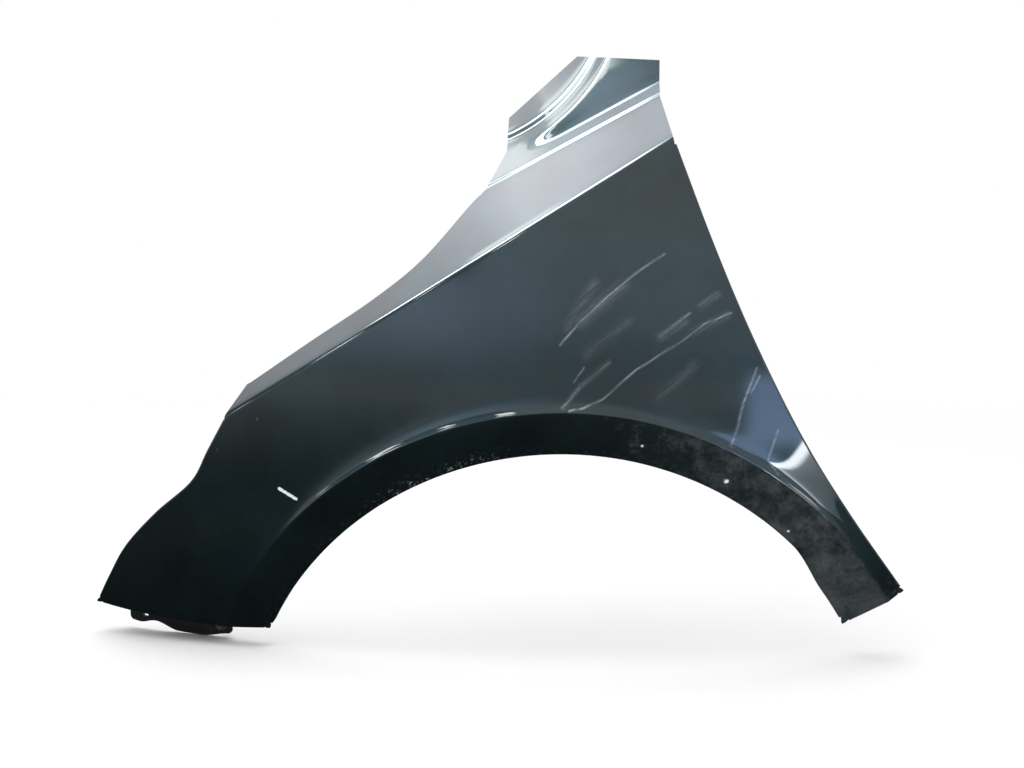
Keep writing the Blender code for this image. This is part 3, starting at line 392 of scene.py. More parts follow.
# %% Columns of the main skin
BAND_SHARES = (0, 0.07, 0.15, 0.24, 0.34, 0.45, 0.56, 0.67, 0.78, 0.88)
FLARE_ROW, TIP_BOW = len(BAND_SHARES) + 2, 0.003


def skin_column(index, end):
    """Points of the side view from the wheel arch out to the panel's edge."""
    arch_angle, flare_angle = remap(angle_of(end), ARCH_ANGLES), remap(angle_of(end), FLARE_ANGLES)
    place, length = [math.radians(a - ARCH_ANGLES[0]) * ARCH_RADIUS for a in (arch_angle, ARCH_ANGLES[1])]
    arch = polar(arch_radius(arch_angle) + pull(place, length), arch_angle)
    flare = polar(ARCH_RADIUS + FLARE_WIDTH, flare_angle)
    short = 0.0
    if index < last_lamp:
        short = pull(lamp_places[index], lamp_places[-1])
    elif index > first_door:
        short = pull(door_places[index - first_door], door_places[-1])
    end = end - (end - flare).normalized() * short
    column = [arch.lerp(flare, share) for share in BAND_SHARES]
    column += [flare - (flare - arch).normalized() * FLARE_ROUND * part for part in (1, 0.5)]
    reach = (end - flare).length
    return column + [flare.lerp(end, place / reach) for place in reach_places(reach)]


skin_points = [skin_column(index, end) for index, end in enumerate(outer)]
for index in range(last_lamp):
    column, fade = skin_points[index], (1 - index / last_lamp) ** 2
    reach = (column[-1] - column[FLARE_ROW]).length
    for point in column[FLARE_ROW:]:
        share = (point - column[FLARE_ROW]).length / reach
        point.y -= TIP_BOW * 4 * share * (1 - share) * fade
print(len(skin_points), "columns of", len(skin_points[0]), "rows")

# %% Stop the end columns short near the free corners
CORNER_REACH, MOVED_COLUMNS, WAY_COLUMN = 0.02, 90, 8

side_places = {}
for side, columns in ((0, skin_points), (-1, skin_points[::-1])):
    side_places[side] = running_lengths(columns[0])
    for row, place in enumerate(side_places[side]):
        across_row = [column[row].copy() for column in columns[:MOVED_COLUMNS]]
        way = (across_row[WAY_COLUMN] - across_row[0]).normalized()
        inward = way * pull(place, side_places[side][-1])
        for column, spot in zip(columns, across_row):
            column[row] = spot + inward * max(0.0, 1 - (spot - across_row[0]).length / CORNER_REACH)
for name, side in (("front", 0), ("rear", -1)):
    print(name, "lower edge:", round(side_places[side][-1] * 1000), "mm")

# %% [markdown]
# ## Shoulder, wall and strip
# Above the crease the sheet leans in to the bonnet's edge. At the windscreen end it is stepped: the
# bonnet lies in a rebate, then the sheet turns up into a wall, a rounded bead and a raised strip.
# Each fold gets five rows across its arc, because an arc with too few rows reflects in flat bands.

# %% Columns of the shoulder
SHOULDER_ROWS = 9


def between(start, end, count):
    """Evenly spaced places after the start and before the end."""
    return [start + (end - start) * k / (count + 1) for k in range(1, count + 1)]


def shoulder_column(base, top):
    reach = (top - base).length
    places = [CREASE_ROUND * part for part in (0, 0.25, 0.5, 0.75, 1)]
    places += between(CREASE_ROUND, reach - STEP_ROUND, SHOULDER_ROWS)
    places += [reach - STEP_ROUND * part for part in (1, 0.5, 0)]
    return [base.lerp(top, place / reach) for place in places]


ridge_shares = [place / ridge_places[-1] for place in ridge_places]
shoulder_points = []
for index, place in enumerate(bonnet_places[:-1]):
    base, top = outer[last_lamp + index], along_path(bonnet_path, place / bonnet_places[-1])
    top -= (top - base).normalized() * pull(place, bonnet_places[-1])
    shoulder_points.append(shoulder_column(base, top))
for index, share in enumerate(ridge_shares):
    base = outer[last_lamp + len(bonnet_places) - 1 + index]
    shoulder_points.append(shoulder_column(base, BONNET_END.lerp(RIDGE_END, share)))
print("shoulder:", len(shoulder_points), "columns")

# %% Columns of the wall
LEDGE_MIDDLE = 0.0075


def across_fold(centre, reach):
    return [centre + reach * part for part in (-1, -0.5, 0, 0.5, 1)]


WALL_PLACES = [0.0, STEP_ROUND / 2, STEP_ROUND] + across_fold(LEDGE_START, LEDGE_ROUND)[1:]
WALL_PLACES += [LEDGE_MIDDLE] + across_fold(WALL_START, WALL_ROUND)
ridge_way = (RIDGE_END - BONNET_END).normalized()
across_ridge = Vector((-ridge_way.y, ridge_way.x))


def bead_point(share):
    start, end = BEAD_START - BEAD_CENTRE, BEAD_END - BEAD_CENTRE
    angle = mix(math.atan2(start.y, start.x), math.atan2(end.y, end.x), share)
    return BEAD_CENTRE + Vector((math.cos(angle), math.sin(angle))) * BEAD_RADIUS


def wall_column(share):
    """Points from the ridge up to the bead, or past the bead's end up to the screen corner."""
    base = BONNET_END.lerp(RIDGE_END, share)
    if share <= BEAD_SHARE + MERGE:
        top = bead_point(min(1.0, share / BEAD_SHARE))
    else:
        top = BEAD_END.lerp(SCREEN_CORNER, (share - BEAD_SHARE) / (1 - BEAD_SHARE))
    way = (top - base).normalized()
    column = [base + way * (place / way.dot(across_ridge)) for place in WALL_PLACES]
    before = top - way * BEAD_ROUND
    column += [column[-1].lerp(before, part) for part in (0.25, 0.5, 0.75)]
    return column + [before, (before + top) / 2, top]


wall_points = [wall_column(share) for share in ridge_shares]
print("wall:", len(wall_points), "columns")

# %% Columns of the strip
BEFORE_GROOVE, BEFORE_STRIP = 0.0055, 0.0135
STRIP_PLACES = [BEAD_ROUND * part for part in (0, 0.5, 1)]
STRIP_PLACES += [BEFORE_GROOVE] + across_fold(GROOVE_START, GROOVE_ROUND)
STRIP_PLACES += [BEFORE_STRIP] + across_fold(STRIP_RISE, STRIP_ROUND)


def strip_column(share):
    top = bead_point(min(1.0, share / BEAD_SHARE))
    edge = STRIP_START.lerp(STRIP_END, share / BEAD_SHARE)
    way = (edge - top).normalized()
    towards = (BEAD_CENTRE - top).normalized()
    column = [top + way * (place / way.dot(towards)) for place in STRIP_PLACES]
    return column + [column[-1].lerp(edge, part) for part in (0.25, 0.5, 0.75, 1)]


strip_points = [strip_column(share) for share in ridge_shares if share <= BEAD_SHARE + MERGE]
print("strip:", len(strip_points), "columns")

# %% [markdown]
# ## From the side view to the sheet
# Each point of the four zones now gets its depth from the formula. The free corners need one more
# touch: the last few points before an edge are rolled in by a quarter circle, so that the sheet ends
# there in a soft fold, as it does beside a relief notch that the press tool leaves.


# %% Put the zones on the skin
def raised(zone):
    return [[on_skin(point) for point in column] for column in zone]


skin, shoulder, wall, strip = [raised(z) for z in (skin_points, shoulder_points, wall_points, strip_points)]
arch_edge = [column[0] for column in skin]
arch_places = running_lengths(arch_edge)
print("the skin's deepest point:", round(max(point.y for column in skin for point in column) * 1000), "mm")

# %% Roll in the free corners
SIDE_ROLL, OUTER_ROLL, ARCH_ROLL = 20, 7, 4


def roll_in(line, distance):
    """Rounds the first points of a line inwards where it ends near a free corner."""
    depth, start = roll(distance)[1], line[0].copy()
    for point in line:
        near = max(0.0, 1 - (point - start).length / FOLD_RADIUS)
        point.y += depth * (1 - math.sqrt(1 - near ** 2))


for side, columns in ((0, skin), (-1, skin[::-1])):
    for row, place in enumerate(side_places[side]):
        line = [column[row] for column in columns[:SIDE_ROLL]]
        roll_in(line, min(place, side_places[side][-1] - place))
for column, place in zip(skin[1:], lamp_places[1:]):
    roll_in(column[:-OUTER_ROLL - 1:-1], place)
for column, place in zip(skin[-len(door_places):-1], door_places):
    roll_in(column[:-OUTER_ROLL - 1:-1], door_places[-1] - place)
for column, place in list(zip(skin, arch_places))[1:-1]:
    roll_in(column[:ARCH_ROLL], min(place, arch_places[-1] - place))
print("rolled in by", round(roll(0)[1] * 1000, 1), "mm at the free corners")

# %% [markdown]
# ## Flanges and tabs
# A pressed panel is stiff because its edges are folded back, and it is held by ears on those flanges.
# A flange follows its edge: at each point there is a way out of the sheet and a way inboard, and the
# folded section is drawn in those two ways. A tab is flat, so it has one frame for the whole ear.

# %% A folded edge's section
FOLD_STEPS = 5


def fold_profile(steps):
    """Points of a folded edge, as (outwards, inwards), from turns in degrees, radii and straights."""
    place, heading, points = Vector((0.0, 0.0)), 0.0, []
    for turn, radius, straight in steps:
        start, side = place.copy(), math.copysign(radius, turn)
        for step in range(1, FOLD_STEPS + 1 if turn else 1):
            angle = heading + math.radians(turn) * step / FOLD_STEPS
            swing = Vector((math.sin(angle) - math.sin(heading), math.cos(heading) - math.cos(angle)))
            points.append(start + swing * side)
        place = points[-1] if turn else place
        heading += math.radians(turn)
        points.append(place + Vector((math.cos(heading), math.sin(heading))) * straight)
        place = points[-1]
    return points


square_fold = fold_profile([(90, FOLD_RADIUS, 0.0)])
print("a square fold ends at", [round(v * 1000, 1) for v in square_fold[-1]], "mm")

# %% Frames along an edge
STEADY_REACH = 0.02


def edge_frames(edge, inner):
    """For each point of an edge: the point, the way along, the way out of the sheet, the way inboard."""
    frames = []
    for index, point in enumerate(edge):
        along = (edge[min(len(edge) - 1, index + 1)] - edge[max(0, index - 1)]).normalized()
        outward = point - inner[index]
        outward = (outward - along * outward.dot(along)).normalized()
        inboard = along.cross(outward)
        if inboard.y < 0:
            inboard.negate()
        frames.append((point, along, outward, inboard))
    return frames


def steadied(frames):
    """The same frames with their ways averaged nearby, so that a deep flange doesn't fold at the flare."""
    steady = []
    for point, along, _, _ in frames:
        near = [(max(0.0, 1 - (frame[0] - point).length / STEADY_REACH), frame) for frame in frames]
        outward = sum((frame[2] * weight for weight, frame in near), Vector()).normalized()
        inboard = sum((frame[3] * weight for weight, frame in near), Vector())
        inboard = (inboard - outward * inboard.dot(outward)).normalized()
        steady.append((point, along, outward, inboard))
    return steady


def relieved(frames, places):
    """The frames of an edge that lie clear of its corners, the end ones turned like their neighbours."""
    low, high = places[0] + FLANGE_RELIEF - MERGE, places[-1] - FLANGE_RELIEF + MERGE
    clear = [frame for frame, place in zip(frames, places) if low <= place <= high]
    clear[0], clear[-1] = clear[0][:1] + clear[1][1:], clear[-1][:1] + clear[-2][1:]
    return clear


arch_frames = edge_frames(arch_edge, [column[1] for column in skin])
print(len(relieved(arch_frames, arch_places)), "of the arch's", len(arch_frames), "frames are clear")

# %% A tab
TAB_FOLD_RADIUS = 0.0028


class Tab:
    """A flat, rounded ear on a flange."""

    def __init__(self, frames, flange_steps, turn, length):
        first, last = frames[0], frames[-1]
        heading = math.radians(sum(step[0] for step in flange_steps))
        out, inward = fold_profile(flange_steps)[-1]
        self.roots = [point + o * out + d * inward for point, _, o, d in frames]
        self.along = (self.roots[-1] - self.roots[0]).normalized()
        outward, inboard = (first[2] + last[2]).normalized(), (first[3] + last[3]).normalized()
        outward = (outward - self.along * outward.dot(self.along)).normalized()
        inboard = inboard - self.along * inboard.dot(self.along)
        inboard = (inboard - outward * inboard.dot(outward)).normalized()
        self.centre = (self.roots[0] + self.roots[-1]) / 2
        self.forward = outward * math.cos(heading) + inboard * math.sin(heading)
        self.side = inboard * math.cos(heading) - outward * math.sin(heading)
        self.width = (self.roots[-1] - self.roots[0]).length
        self.turn, self.length = turn, length
        bend = [(turn, TAB_FOLD_RADIUS, 0.0)] if turn else [(0, 0.0, 0.0)]
        out, inward = fold_profile(bend)[-1]
        angle = math.radians(turn)
        self.start = self.at(0.0, out, inward)
        self.way = self.forward * math.cos(angle) + self.side * math.sin(angle)
        self.normal = self.forward * math.sin(angle) - self.side * math.cos(angle)

    def at(self, across, out, inward):
        return self.centre + self.along * across + self.forward * out + self.side * inward

    def rows(self):
        offsets = [(root - self.centre).dot(self.along) for root in self.roots]
        bend = [(TAB_FOLD_RADIUS, 0.0)]
        if self.turn:
            bend = fold_profile([(self.turn, TAB_FOLD_RADIUS, 0.0)])[:-1]
        rows = [self.roots]
        rows += [[self.at(offset, out, inward) for offset in offsets] for out, inward in bend]
        flat = self.length - TAB_CORNER
        reaches = [flat / 3, flat * 2 / 3, flat] + [flat + TAB_CORNER * part for part in (0.33, 0.67, 1)]
        return rows + [[self.rounded(offset, reach) for offset in offsets] for reach in reaches]

    def rounded(self, offset, reach):
        """Pulls the square outer corners of the ear onto a quarter circle."""
        past, beyond = abs(offset) - (self.width / 2 - TAB_CORNER), reach - (self.length - TAB_CORNER)
        if past > 0 and beyond > 0:
            a, b = past / TAB_CORNER, beyond / TAB_CORNER
            offset = math.copysign(self.width / 2 - TAB_CORNER + past * math.sqrt(1 - b * b / 2), offset)
            reach = self.length - TAB_CORNER + beyond * math.sqrt(1 - a * a / 2)
        return self.start + self.along * offset + self.way * reach


print("tabs have corners of", TAB_CORNER * 1000, "mm")

# %% Flanges and tabs of the long edges
TAB_LENGTH, ARCH_LIP, LAMP_FLANGE, BONNET_FLANGE, DOOR_FLANGE = 0.026, 0.013, 0.009, 0.018, 0.012

zones, tabs = [skin, shoulder, wall, strip], {}


def flange_rows(frames, steps):
    rows = [[point for point, _, _, _ in frames]]
    for out, inward in fold_profile(steps):
        rows.append([point + outward * out + inboard * inward for point, _, outward, inboard in frames])
    return rows


def add_tabs(name, frames, steps, places, centres, width, turn, length):
    for number, centre in enumerate(centres):
        low, high = centre - width / 2 - MERGE, centre + width / 2 + MERGE
        tab = Tab([f for f, place in zip(frames, places) if low <= place <= high], steps, turn, length)
        zones.append(tab.rows())
        tabs[f"{name}_{number + 1}"] = tab


def add_edge(name, columns, places, steps, tab_shares, turn):
    frames = edge_frames([column[-1] for column in columns], [column[-2] for column in columns])
    zones.append(flange_rows(relieved(frames, places), steps))
    centres = [share * places[-1] for share in tab_shares]
    add_tabs(name, frames, steps, places, centres, TAB_WIDTH, turn, TAB_LENGTH)


zones.append(flange_rows(relieved(arch_frames, arch_places), [(92, FOLD_RADIUS, ARCH_LIP)]))
for name, columns, places, turn, depth, tab_shares, tab_turn in (
    ("lamp_tab", skin[:len(lamp_places)], lamp_places, 94, LAMP_FLANGE, LAMP_TABS, 86),
    ("bonnet_tab", shoulder[:len(bonnet_places)], bonnet_places, 125, BONNET_FLANGE, BONNET_TABS, -85),
    ("pillar_tab", skin[-len(door_places):], door_places, 94, DOOR_FLANGE, DOOR_TABS, 86),
):
    add_edge(name, columns, places, [(turn, FOLD_RADIUS, depth)], tab_shares, tab_turn)
print("tabs:", ", ".join(tabs))

# %% Flanges and tabs of the lower edges
FRONT_FLANGE, RAIL_TAB_LENGTH, RAIL_TAB_ANGLE = 0.025, 0.018, -96
FOOT_FLANGE, FOOT_TAB_LENGTH = 0.008, 0.018

front_places = [FLARE_WIDTH * (share - 1) for share in BAND_SHARES]
front_places += [-FLARE_ROUND, -FLARE_ROUND / 2] + reach_places(front_edge)
front_frames = steadied(edge_frames(skin[0], skin[1]))
front_steps = [(98, FOLD_RADIUS, FRONT_FLANGE)]
zones.append(flange_rows(relieved(front_frames, front_places), front_steps))
add_tabs(
    "rail_tab", front_frames, front_steps, front_places, [RAIL_TAB_PLACE],
    RAIL_TAB_WIDTH, RAIL_TAB_ANGLE, RAIL_TAB_LENGTH,
)
foot_steps = [(90, FOLD_RADIUS, FOOT_FLANGE)]
foot_frames = relieved(steadied(edge_frames(skin[-1], skin[-2])), side_places[-1])
zones.append(flange_rows(foot_frames, foot_steps))
tabs["foot_tab_1"] = Tab(foot_frames, foot_steps, 0, FOOT_TAB_LENGTH)
zones.append(tabs["foot_tab_1"].rows())
print(len(zones), "grids, tabs:", ", ".join(tabs))


# %% Make the grids
def lay_grid(mesh, rows):
    """Faces from create_grid, with each vertex moved to its place in the rows."""
    across, along = len(rows) - 1, len(rows[0]) - 1
    for vert in bmesh.ops.create_grid(mesh, x_segments=across, y_segments=along, size=1)["verts"]:
        vert.co = rows[round((vert.co.x + 1) / 2 * across)][round((vert.co.y + 1) / 2 * along)]


sheet_mesh = bmesh.new()
for rows in zones:
    lay_grid(sheet_mesh, rows)
bmesh.ops.remove_doubles(sheet_mesh, verts=sheet_mesh.verts, dist=MERGE)
bmesh.ops.recalc_face_normals(sheet_mesh, faces=sheet_mesh.faces)
if sum(face.normal.y * face.calc_area() for face in sheet_mesh.faces) > 0:
    bmesh.ops.reverse_faces(sheet_mesh, faces=sheet_mesh.faces)
print(len(sheet_mesh.verts), "vertices,", len(sheet_mesh.faces), "faces")

# %% [markdown]
# ## Thickness and holes
# The sheet is 0.8 mm thick, measured inwards from the outer skin. The holes are cut through the flat
# of each tab and through the lip of the arch, where the plastic wheel liner is screwed on. Solidify
# and an exact Boolean do both. The result is kept as a plain mesh, and edges over 32 degrees are left
# sharp. The sheet has two material slots, because its inner face carries another paint.


# %% Objects and their holes
ROUND_STEPS, HOLE_DEPTH, TAB_SLOT, SHARP_ANGLE = 48, 0.012, 0.006, math.radians(32)


def add_object(name, mesh):
    data = bpy.data.meshes.new(name)
    mesh.to_mesh(data)
    mesh.free()
    made = bpy.data.objects.new(name, data)
    bpy.context.scene.collection.objects.link(made)
    return made


def cut_hole(mesh, centre, axis, radius, slot_way=None):
    """Adds a round cutter, drawn out into a slot if a way along it is given."""
    turn = axis.to_track_quat("Z", "Y").to_matrix().to_4x4()
    made = bmesh.ops.create_cone(
        mesh, cap_ends=True, segments=ROUND_STEPS, radius1=radius, radius2=radius, depth=HOLE_DEPTH,
        matrix=Matrix.Translation(centre) @ turn,
    )
    if slot_way:
        for vert in made["verts"]:
            vert.co += slot_way * math.copysign(TAB_SLOT / 2, (vert.co - centre).dot(slot_way))


def baked(source, tool=None, thickness=0.0):
    """The object's mesh with its thickness and holes as plain faces, on the object itself."""
    if thickness:
        wall_depth = source.modifiers.new("sheet", "SOLIDIFY")
        wall_depth.thickness, wall_depth.offset, wall_depth.use_even_offset = thickness, -1, True
        wall_depth.material_offset = 1
    if tool:
        holes = source.modifiers.new("holes", "BOOLEAN")
        holes.operation, holes.solver, holes.object = "DIFFERENCE", "EXACT", tool
    ready = source.evaluated_get(bpy.context.evaluated_depsgraph_get())
    data = bpy.data.meshes.new_from_object(ready)
    source.modifiers.clear()
    source.data = data
    if tool:
        bpy.data.objects.remove(tool)
    data.shade_smooth()
    data.set_sharp_from_angle(angle=SHARP_ANGLE)
    return source


print("holes have", ROUND_STEPS, "sides")

# %% The finished sheet
TAB_HOLE, LINER_HOLE, LINER_ANGLES, LINER_SHARE = 0.0042, 0.0035, (-52, -28, 0, 26, 48), 0.55
BOLT_DROP, BOLT_RADIUS, CLEARANCE = 0.0098, 0.003, 0.0003

holes_mesh = bmesh.new()
for name, tab in tabs.items():
    if name.startswith("rail"):
        cut_hole(holes_mesh, tab.start + tab.way * BOLT_DROP, tab.normal, BOLT_RADIUS + CLEARANCE)
    else:
        slot_way = tab.along if name.startswith("foot") else tab.way
        cut_hole(holes_mesh, tab.start + tab.way * tab.length / 2, tab.normal, TAB_HOLE, slot_way)
for angle in LINER_ANGLES:
    edge = polar(ARCH_RADIUS, angle)
    centre = on_skin(edge) + Vector((0.0, FOLD_RADIUS + ARCH_LIP * LINER_SHARE, 0.0))
    cut_hole(holes_mesh, centre, Vector((edge.x, 0.0, edge.y)).normalized(), LINER_HOLE)
sheet_mesh.transform(Matrix.Translation(-DATUM))
holes_mesh.transform(Matrix.Translation(-DATUM))
panel = add_object("panel_fine", sheet_mesh)
for side in ("outside", "inside"):
    panel.data.materials.append(bpy.data.materials.new(side))
panel = baked(panel, add_object("holes", holes_mesh), SHEET)
print("panel:", len(panel.data.polygons), "faces")

# %% [markdown]
# ## The black rail
# The rail is a moulded L section: a leg under the panel's front flange and a web that hangs below it
# in two lobes. The bumper's edge clips to it. A straight bar that is bent to shape would drift from
# the edge, so one section is drawn for each place along it, in the edge's own frames. The sections
# stand closer where its ends are rounded.


# %% Where the rail lies
LEG_CLEARANCE, RAIL_WALL, RAIL_LEG, RAIL_END_RADIUS = 0.0007, 0.0025, 0.012, 0.005
RAIL_PLACES = (0.0075, 0.0445, 0.0725, 0.1005, 0.1215, 0.1335)
RAIL_DROPS = (0.0210, 0.0282, 0.0284, 0.0212, 0.0268, 0.0262)
RAIL_HOLE_PLACE, RAIL_HOLE_DROP, RAIL_HOLE_RADIUS = 0.1135, 0.0146, 0.0037
RAIL_ROUNDING_ANGLES, RAIL_STEPS, RAIL_EDGE = (0, 15, 30, 45, 60, 75), 60, 0.0005


def front_frame(place):
    """The frame of the front lower edge at any distance past the flare's line."""
    index = max(k for k, start in enumerate(front_places[:-1]) if start <= place)
    share = (place - front_places[index]) / (front_places[index + 1] - front_places[index])
    mixed = [p.lerp(q, share) for p, q in zip(front_frames[index], front_frames[index + 1])]
    return [mixed[0]] + [vector.normalized() for vector in mixed[1:]]


def rail_drop(place):
    """How far the rail's web hangs: two lobes with a notch between them and rounded ends."""
    drop, from_end = RAIL_DROPS[0], min(place - RAIL_PLACES[0], RAIL_PLACES[-1] - place)
    for start, end, low, high in zip(RAIL_PLACES, RAIL_PLACES[1:], RAIL_DROPS, RAIL_DROPS[1:]):
        drop += (high - low) * smooth_step((place - start) / (end - start))
    if from_end < RAIL_END_RADIUS:
        short = RAIL_END_RADIUS - from_end
        drop -= RAIL_END_RADIUS - math.sqrt(RAIL_END_RADIUS ** 2 - short ** 2)
    return drop


bend_spot = fold_profile(front_steps + [(RAIL_TAB_ANGLE, TAB_FOLD_RADIUS, 0.0)])[-1]
flange_spot = fold_profile(front_steps)[-1]
up, down = [math.radians(angle) for angle in (front_steps[0][0], front_steps[0][0] + RAIL_TAB_ANGLE)]
flange_way, below = Vector((math.cos(up), math.sin(up))), Vector((math.sin(up), -math.cos(up)))
web_way, before = Vector((math.cos(down), math.sin(down))), Vector((math.sin(down), -math.cos(down)))
print("the rail hangs", [round(rail_drop(place) * 1000, 1) for place in RAIL_PLACES], "mm")


# %% The rail's section
def rail_section(place):
    point, _, outward, inboard = front_frame(place)
    leg, web, drop = flange_spot + below * LEG_CLEARANCE, bend_spot + before * CLEARANCE, rail_drop(place)
    inner = web + before * RAIL_WALL
    corner_spot = inner + web_way * (RAIL_WALL - (inner - leg).dot(below))
    web_spots = [web + web_way * drop * part for part in (0.33, 0.67, 1)]
    leg_end = leg - flange_way * RAIL_LEG
    outline = [leg_end, leg, web] + web_spots + [spot + before * RAIL_WALL for spot in reversed(web_spots)]
    outline += [corner_spot, leg_end + below * RAIL_WALL, leg_end]
    return [point + outward * spot.x + inboard * spot.y for spot in outline]


def closed_grid(rows, merge):
    """A grid whose rows close on themselves, capped at both ends, with its faces outwards."""
    mesh = bmesh.new()
    lay_grid(mesh, rows)
    bmesh.ops.remove_doubles(mesh, verts=mesh.verts, dist=merge)
    bmesh.ops.holes_fill(mesh, edges=[edge for edge in mesh.edges if edge.is_boundary], sides=0)
    bmesh.ops.recalc_face_normals(mesh, faces=mesh.faces)
    return mesh


def tube(rows, bevel):
    """A closed grid with its sharp edges rounded, moved to its place."""
    mesh = closed_grid(rows, MERGE / 2)
    bmesh.ops.bevel(
        mesh, geom=[edge for edge in mesh.edges if edge.calc_face_angle(0) > SHARP_ANGLE], offset=bevel,
        offset_type="OFFSET", segments=3, profile=0.5, affect="EDGES", clamp_overlap=True, material=-1,
    )
    mesh.transform(Matrix.Translation(-DATUM))
    return mesh


print("points of the section:", len(rail_section(RAIL_HOLE_PLACE)))

# %% Make the rail
rounding = [RAIL_END_RADIUS * (1 - math.cos(math.radians(angle))) for angle in RAIL_ROUNDING_ANGLES]
rail_start, rail_end = RAIL_PLACES[0] + RAIL_END_RADIUS, RAIL_PLACES[-1] - RAIL_END_RADIUS
rail_places = [RAIL_PLACES[0] + part for part in rounding]
rail_places += [mix(rail_start, rail_end, step / RAIL_STEPS) for step in range(RAIL_STEPS + 1)]
rail_places += [RAIL_PLACES[-1] - part for part in reversed(rounding)]
rail = add_object("rail_fine", tube([rail_section(place) for place in rail_places], RAIL_EDGE))

rail_tab = tabs["rail_tab_1"]
bolt_seat, bolt_axis, bolt_way = rail_tab.start + rail_tab.way * BOLT_DROP, rail_tab.normal, rail_tab.way
middle = CLEARANCE + RAIL_WALL / 2
rail_holes = bmesh.new()
cut_hole(rail_holes, bolt_seat + bolt_axis * middle, bolt_axis, BOLT_RADIUS + CLEARANCE)
point, _, outward, inboard = front_frame(RAIL_HOLE_PLACE)
spot = bend_spot + web_way * RAIL_HOLE_DROP + before * middle
hole_axis = outward * math.sin(down) - inboard * math.cos(down)
cut_hole(rail_holes, point + outward * spot.x + inboard * spot.y, hole_axis, RAIL_HOLE_RADIUS)
rail_holes.transform(Matrix.Translation(-DATUM))
rail = baked(rail, add_object("rail_holes", rail_holes))
print("rail:", len(rail.data.polygons), "faces")

# %% [markdown]
# ## The bolt and its nut
# A flanged 6 mm bolt draws the rail on a square nut that is welded behind the tab. Cylinders cut by
# Booleans could make them, but everything on a bolt is round its axis, so each piece is a stack of
# rings in one closed grid. A ring's radius may change with the angle: a hexagon is a ring whose radius
# grows towards six corners, and a cone that limits it cuts the corners back as on a real head. The
# thread moves the radius in and out along a spiral.


# %% Rings round the bolt
def ring(distance, reach_at):
    """A closed ring round the bolt's axis, its radius given for each angle in turns."""
    points = []
    for step in range(ROUND_STEPS + 1):
        turn = step / ROUND_STEPS
        angle = 2 * math.pi * (turn % 1)
        way = bolt_way * math.cos(angle) + bolt_axis.cross(bolt_way) * math.sin(angle)
        points.append(bolt_seat + bolt_axis * distance + way * reach_at(turn))
    return points


def circle(radius):
    return lambda turn: radius


def flats(radius, count, limit=1.0):
    """A polygon's radius, with its corners cut back by a cone of the limit's radius."""
    def reach(turn):
        off = ((turn % 1) * count) % 1 - 0.5
        return min(limit, radius / math.cos(math.pi / count * 2 * off))
    return reach


print("the bolt stands at", [round(v * 1000, 1) for v in bolt_seat - DATUM], "mm")

# %% The bolt's head
BOLT_FLANGE_RADIUS, BOLT_FLANGE, BOLT_HEAD_RADIUS, BOLT_HEAD = 0.0078, 0.0016, 0.005, 0.0045
HEAD_CROWN, HEAD_CHAMFER, HEAD_EDGE, FLANGE_EDGE_SHARE = BOLT_HEAD_RADIUS - 0.0001, 0.0009, 0.0001, 0.45
HEAD_DISH, HEAD_DISH_RADIUS, HEAD_PIT, HEAD_PIT_RADIUS = 0.0003, 0.0034, 0.0005, 0.0012

seat = 2 * CLEARANCE + RAIL_WALL
head_base, head_top = seat + BOLT_FLANGE, seat + BOLT_FLANGE + BOLT_HEAD
head_rows = [ring(seat, circle(BOLT_RADIUS)), ring(seat, circle(BOLT_FLANGE_RADIUS))]
head_rows.append(ring(seat + BOLT_FLANGE * FLANGE_EDGE_SHARE, circle(BOLT_FLANGE_RADIUS)))
head_rows.append(ring(head_base, flats(BOLT_HEAD_RADIUS, 6)))
for part in (1, 0.66, 0.33, 0):
    cone = HEAD_CROWN + HEAD_CHAMFER * part
    head_rows.append(ring(head_top - HEAD_CHAMFER * part, flats(BOLT_HEAD_RADIUS, 6, cone)))
head_rows.append(ring(head_top - HEAD_DISH, circle(HEAD_DISH_RADIUS)))
head_rows.append(ring(head_top - HEAD_PIT, circle(HEAD_PIT_RADIUS)))
bolt = baked(add_object("bolt_head", tube(head_rows, HEAD_EDGE)))
print("bolt's head:", len(bolt.data.polygons), "faces")

# %% The bolt's thread
BOLT_LENGTH, BOLT_PITCH, THREAD_DEPTH, THREAD_RUN, THREAD_POWER = 0.016, 0.001, 0.00045, 0.002, 1.5
RINGS_PER_TURN, THREAD_RINGS, SHANK_EASE, SHANK_POINT = 8, (2, 122), 0.0001, 0.0007


def thread(distance):
    """The shank's radius round one ring: full at the crest, and cut in along the spiral."""
    def reach(turn):
        phase = ((distance - seat) / BOLT_PITCH + turn) % 1
        depth = THREAD_DEPTH * min(1.0, (seat - distance) / THREAD_RUN)
        return BOLT_RADIUS - depth * abs(2 * phase - 1) ** THREAD_POWER
    return reach


shank_rows = [ring(seat - SHANK_EASE, circle(BOLT_RADIUS - SHANK_EASE))]
for step in range(*THREAD_RINGS):
    distance = seat - step * BOLT_PITCH / RINGS_PER_TURN
    shank_rows.append(ring(distance, thread(distance)))
shank_rows.append(ring(seat - BOLT_LENGTH, circle(BOLT_RADIUS - SHANK_POINT)))
shank = closed_grid(shank_rows, MERGE / 4)
shank.transform(Matrix.Translation(-DATUM))
bolt_shank = baked(add_object("bolt_shank", shank))
print("bolt's shank:", len(bolt_shank.data.polygons), "faces")

# %% The nut
NUT_HALF_SIDE, NUT_HEIGHT, NUT_FUNNEL, NUT_FUNNEL_DEPTH, NUT_EDGE = 0.006, 0.005, 0.0005, 0.0006, 0.0004

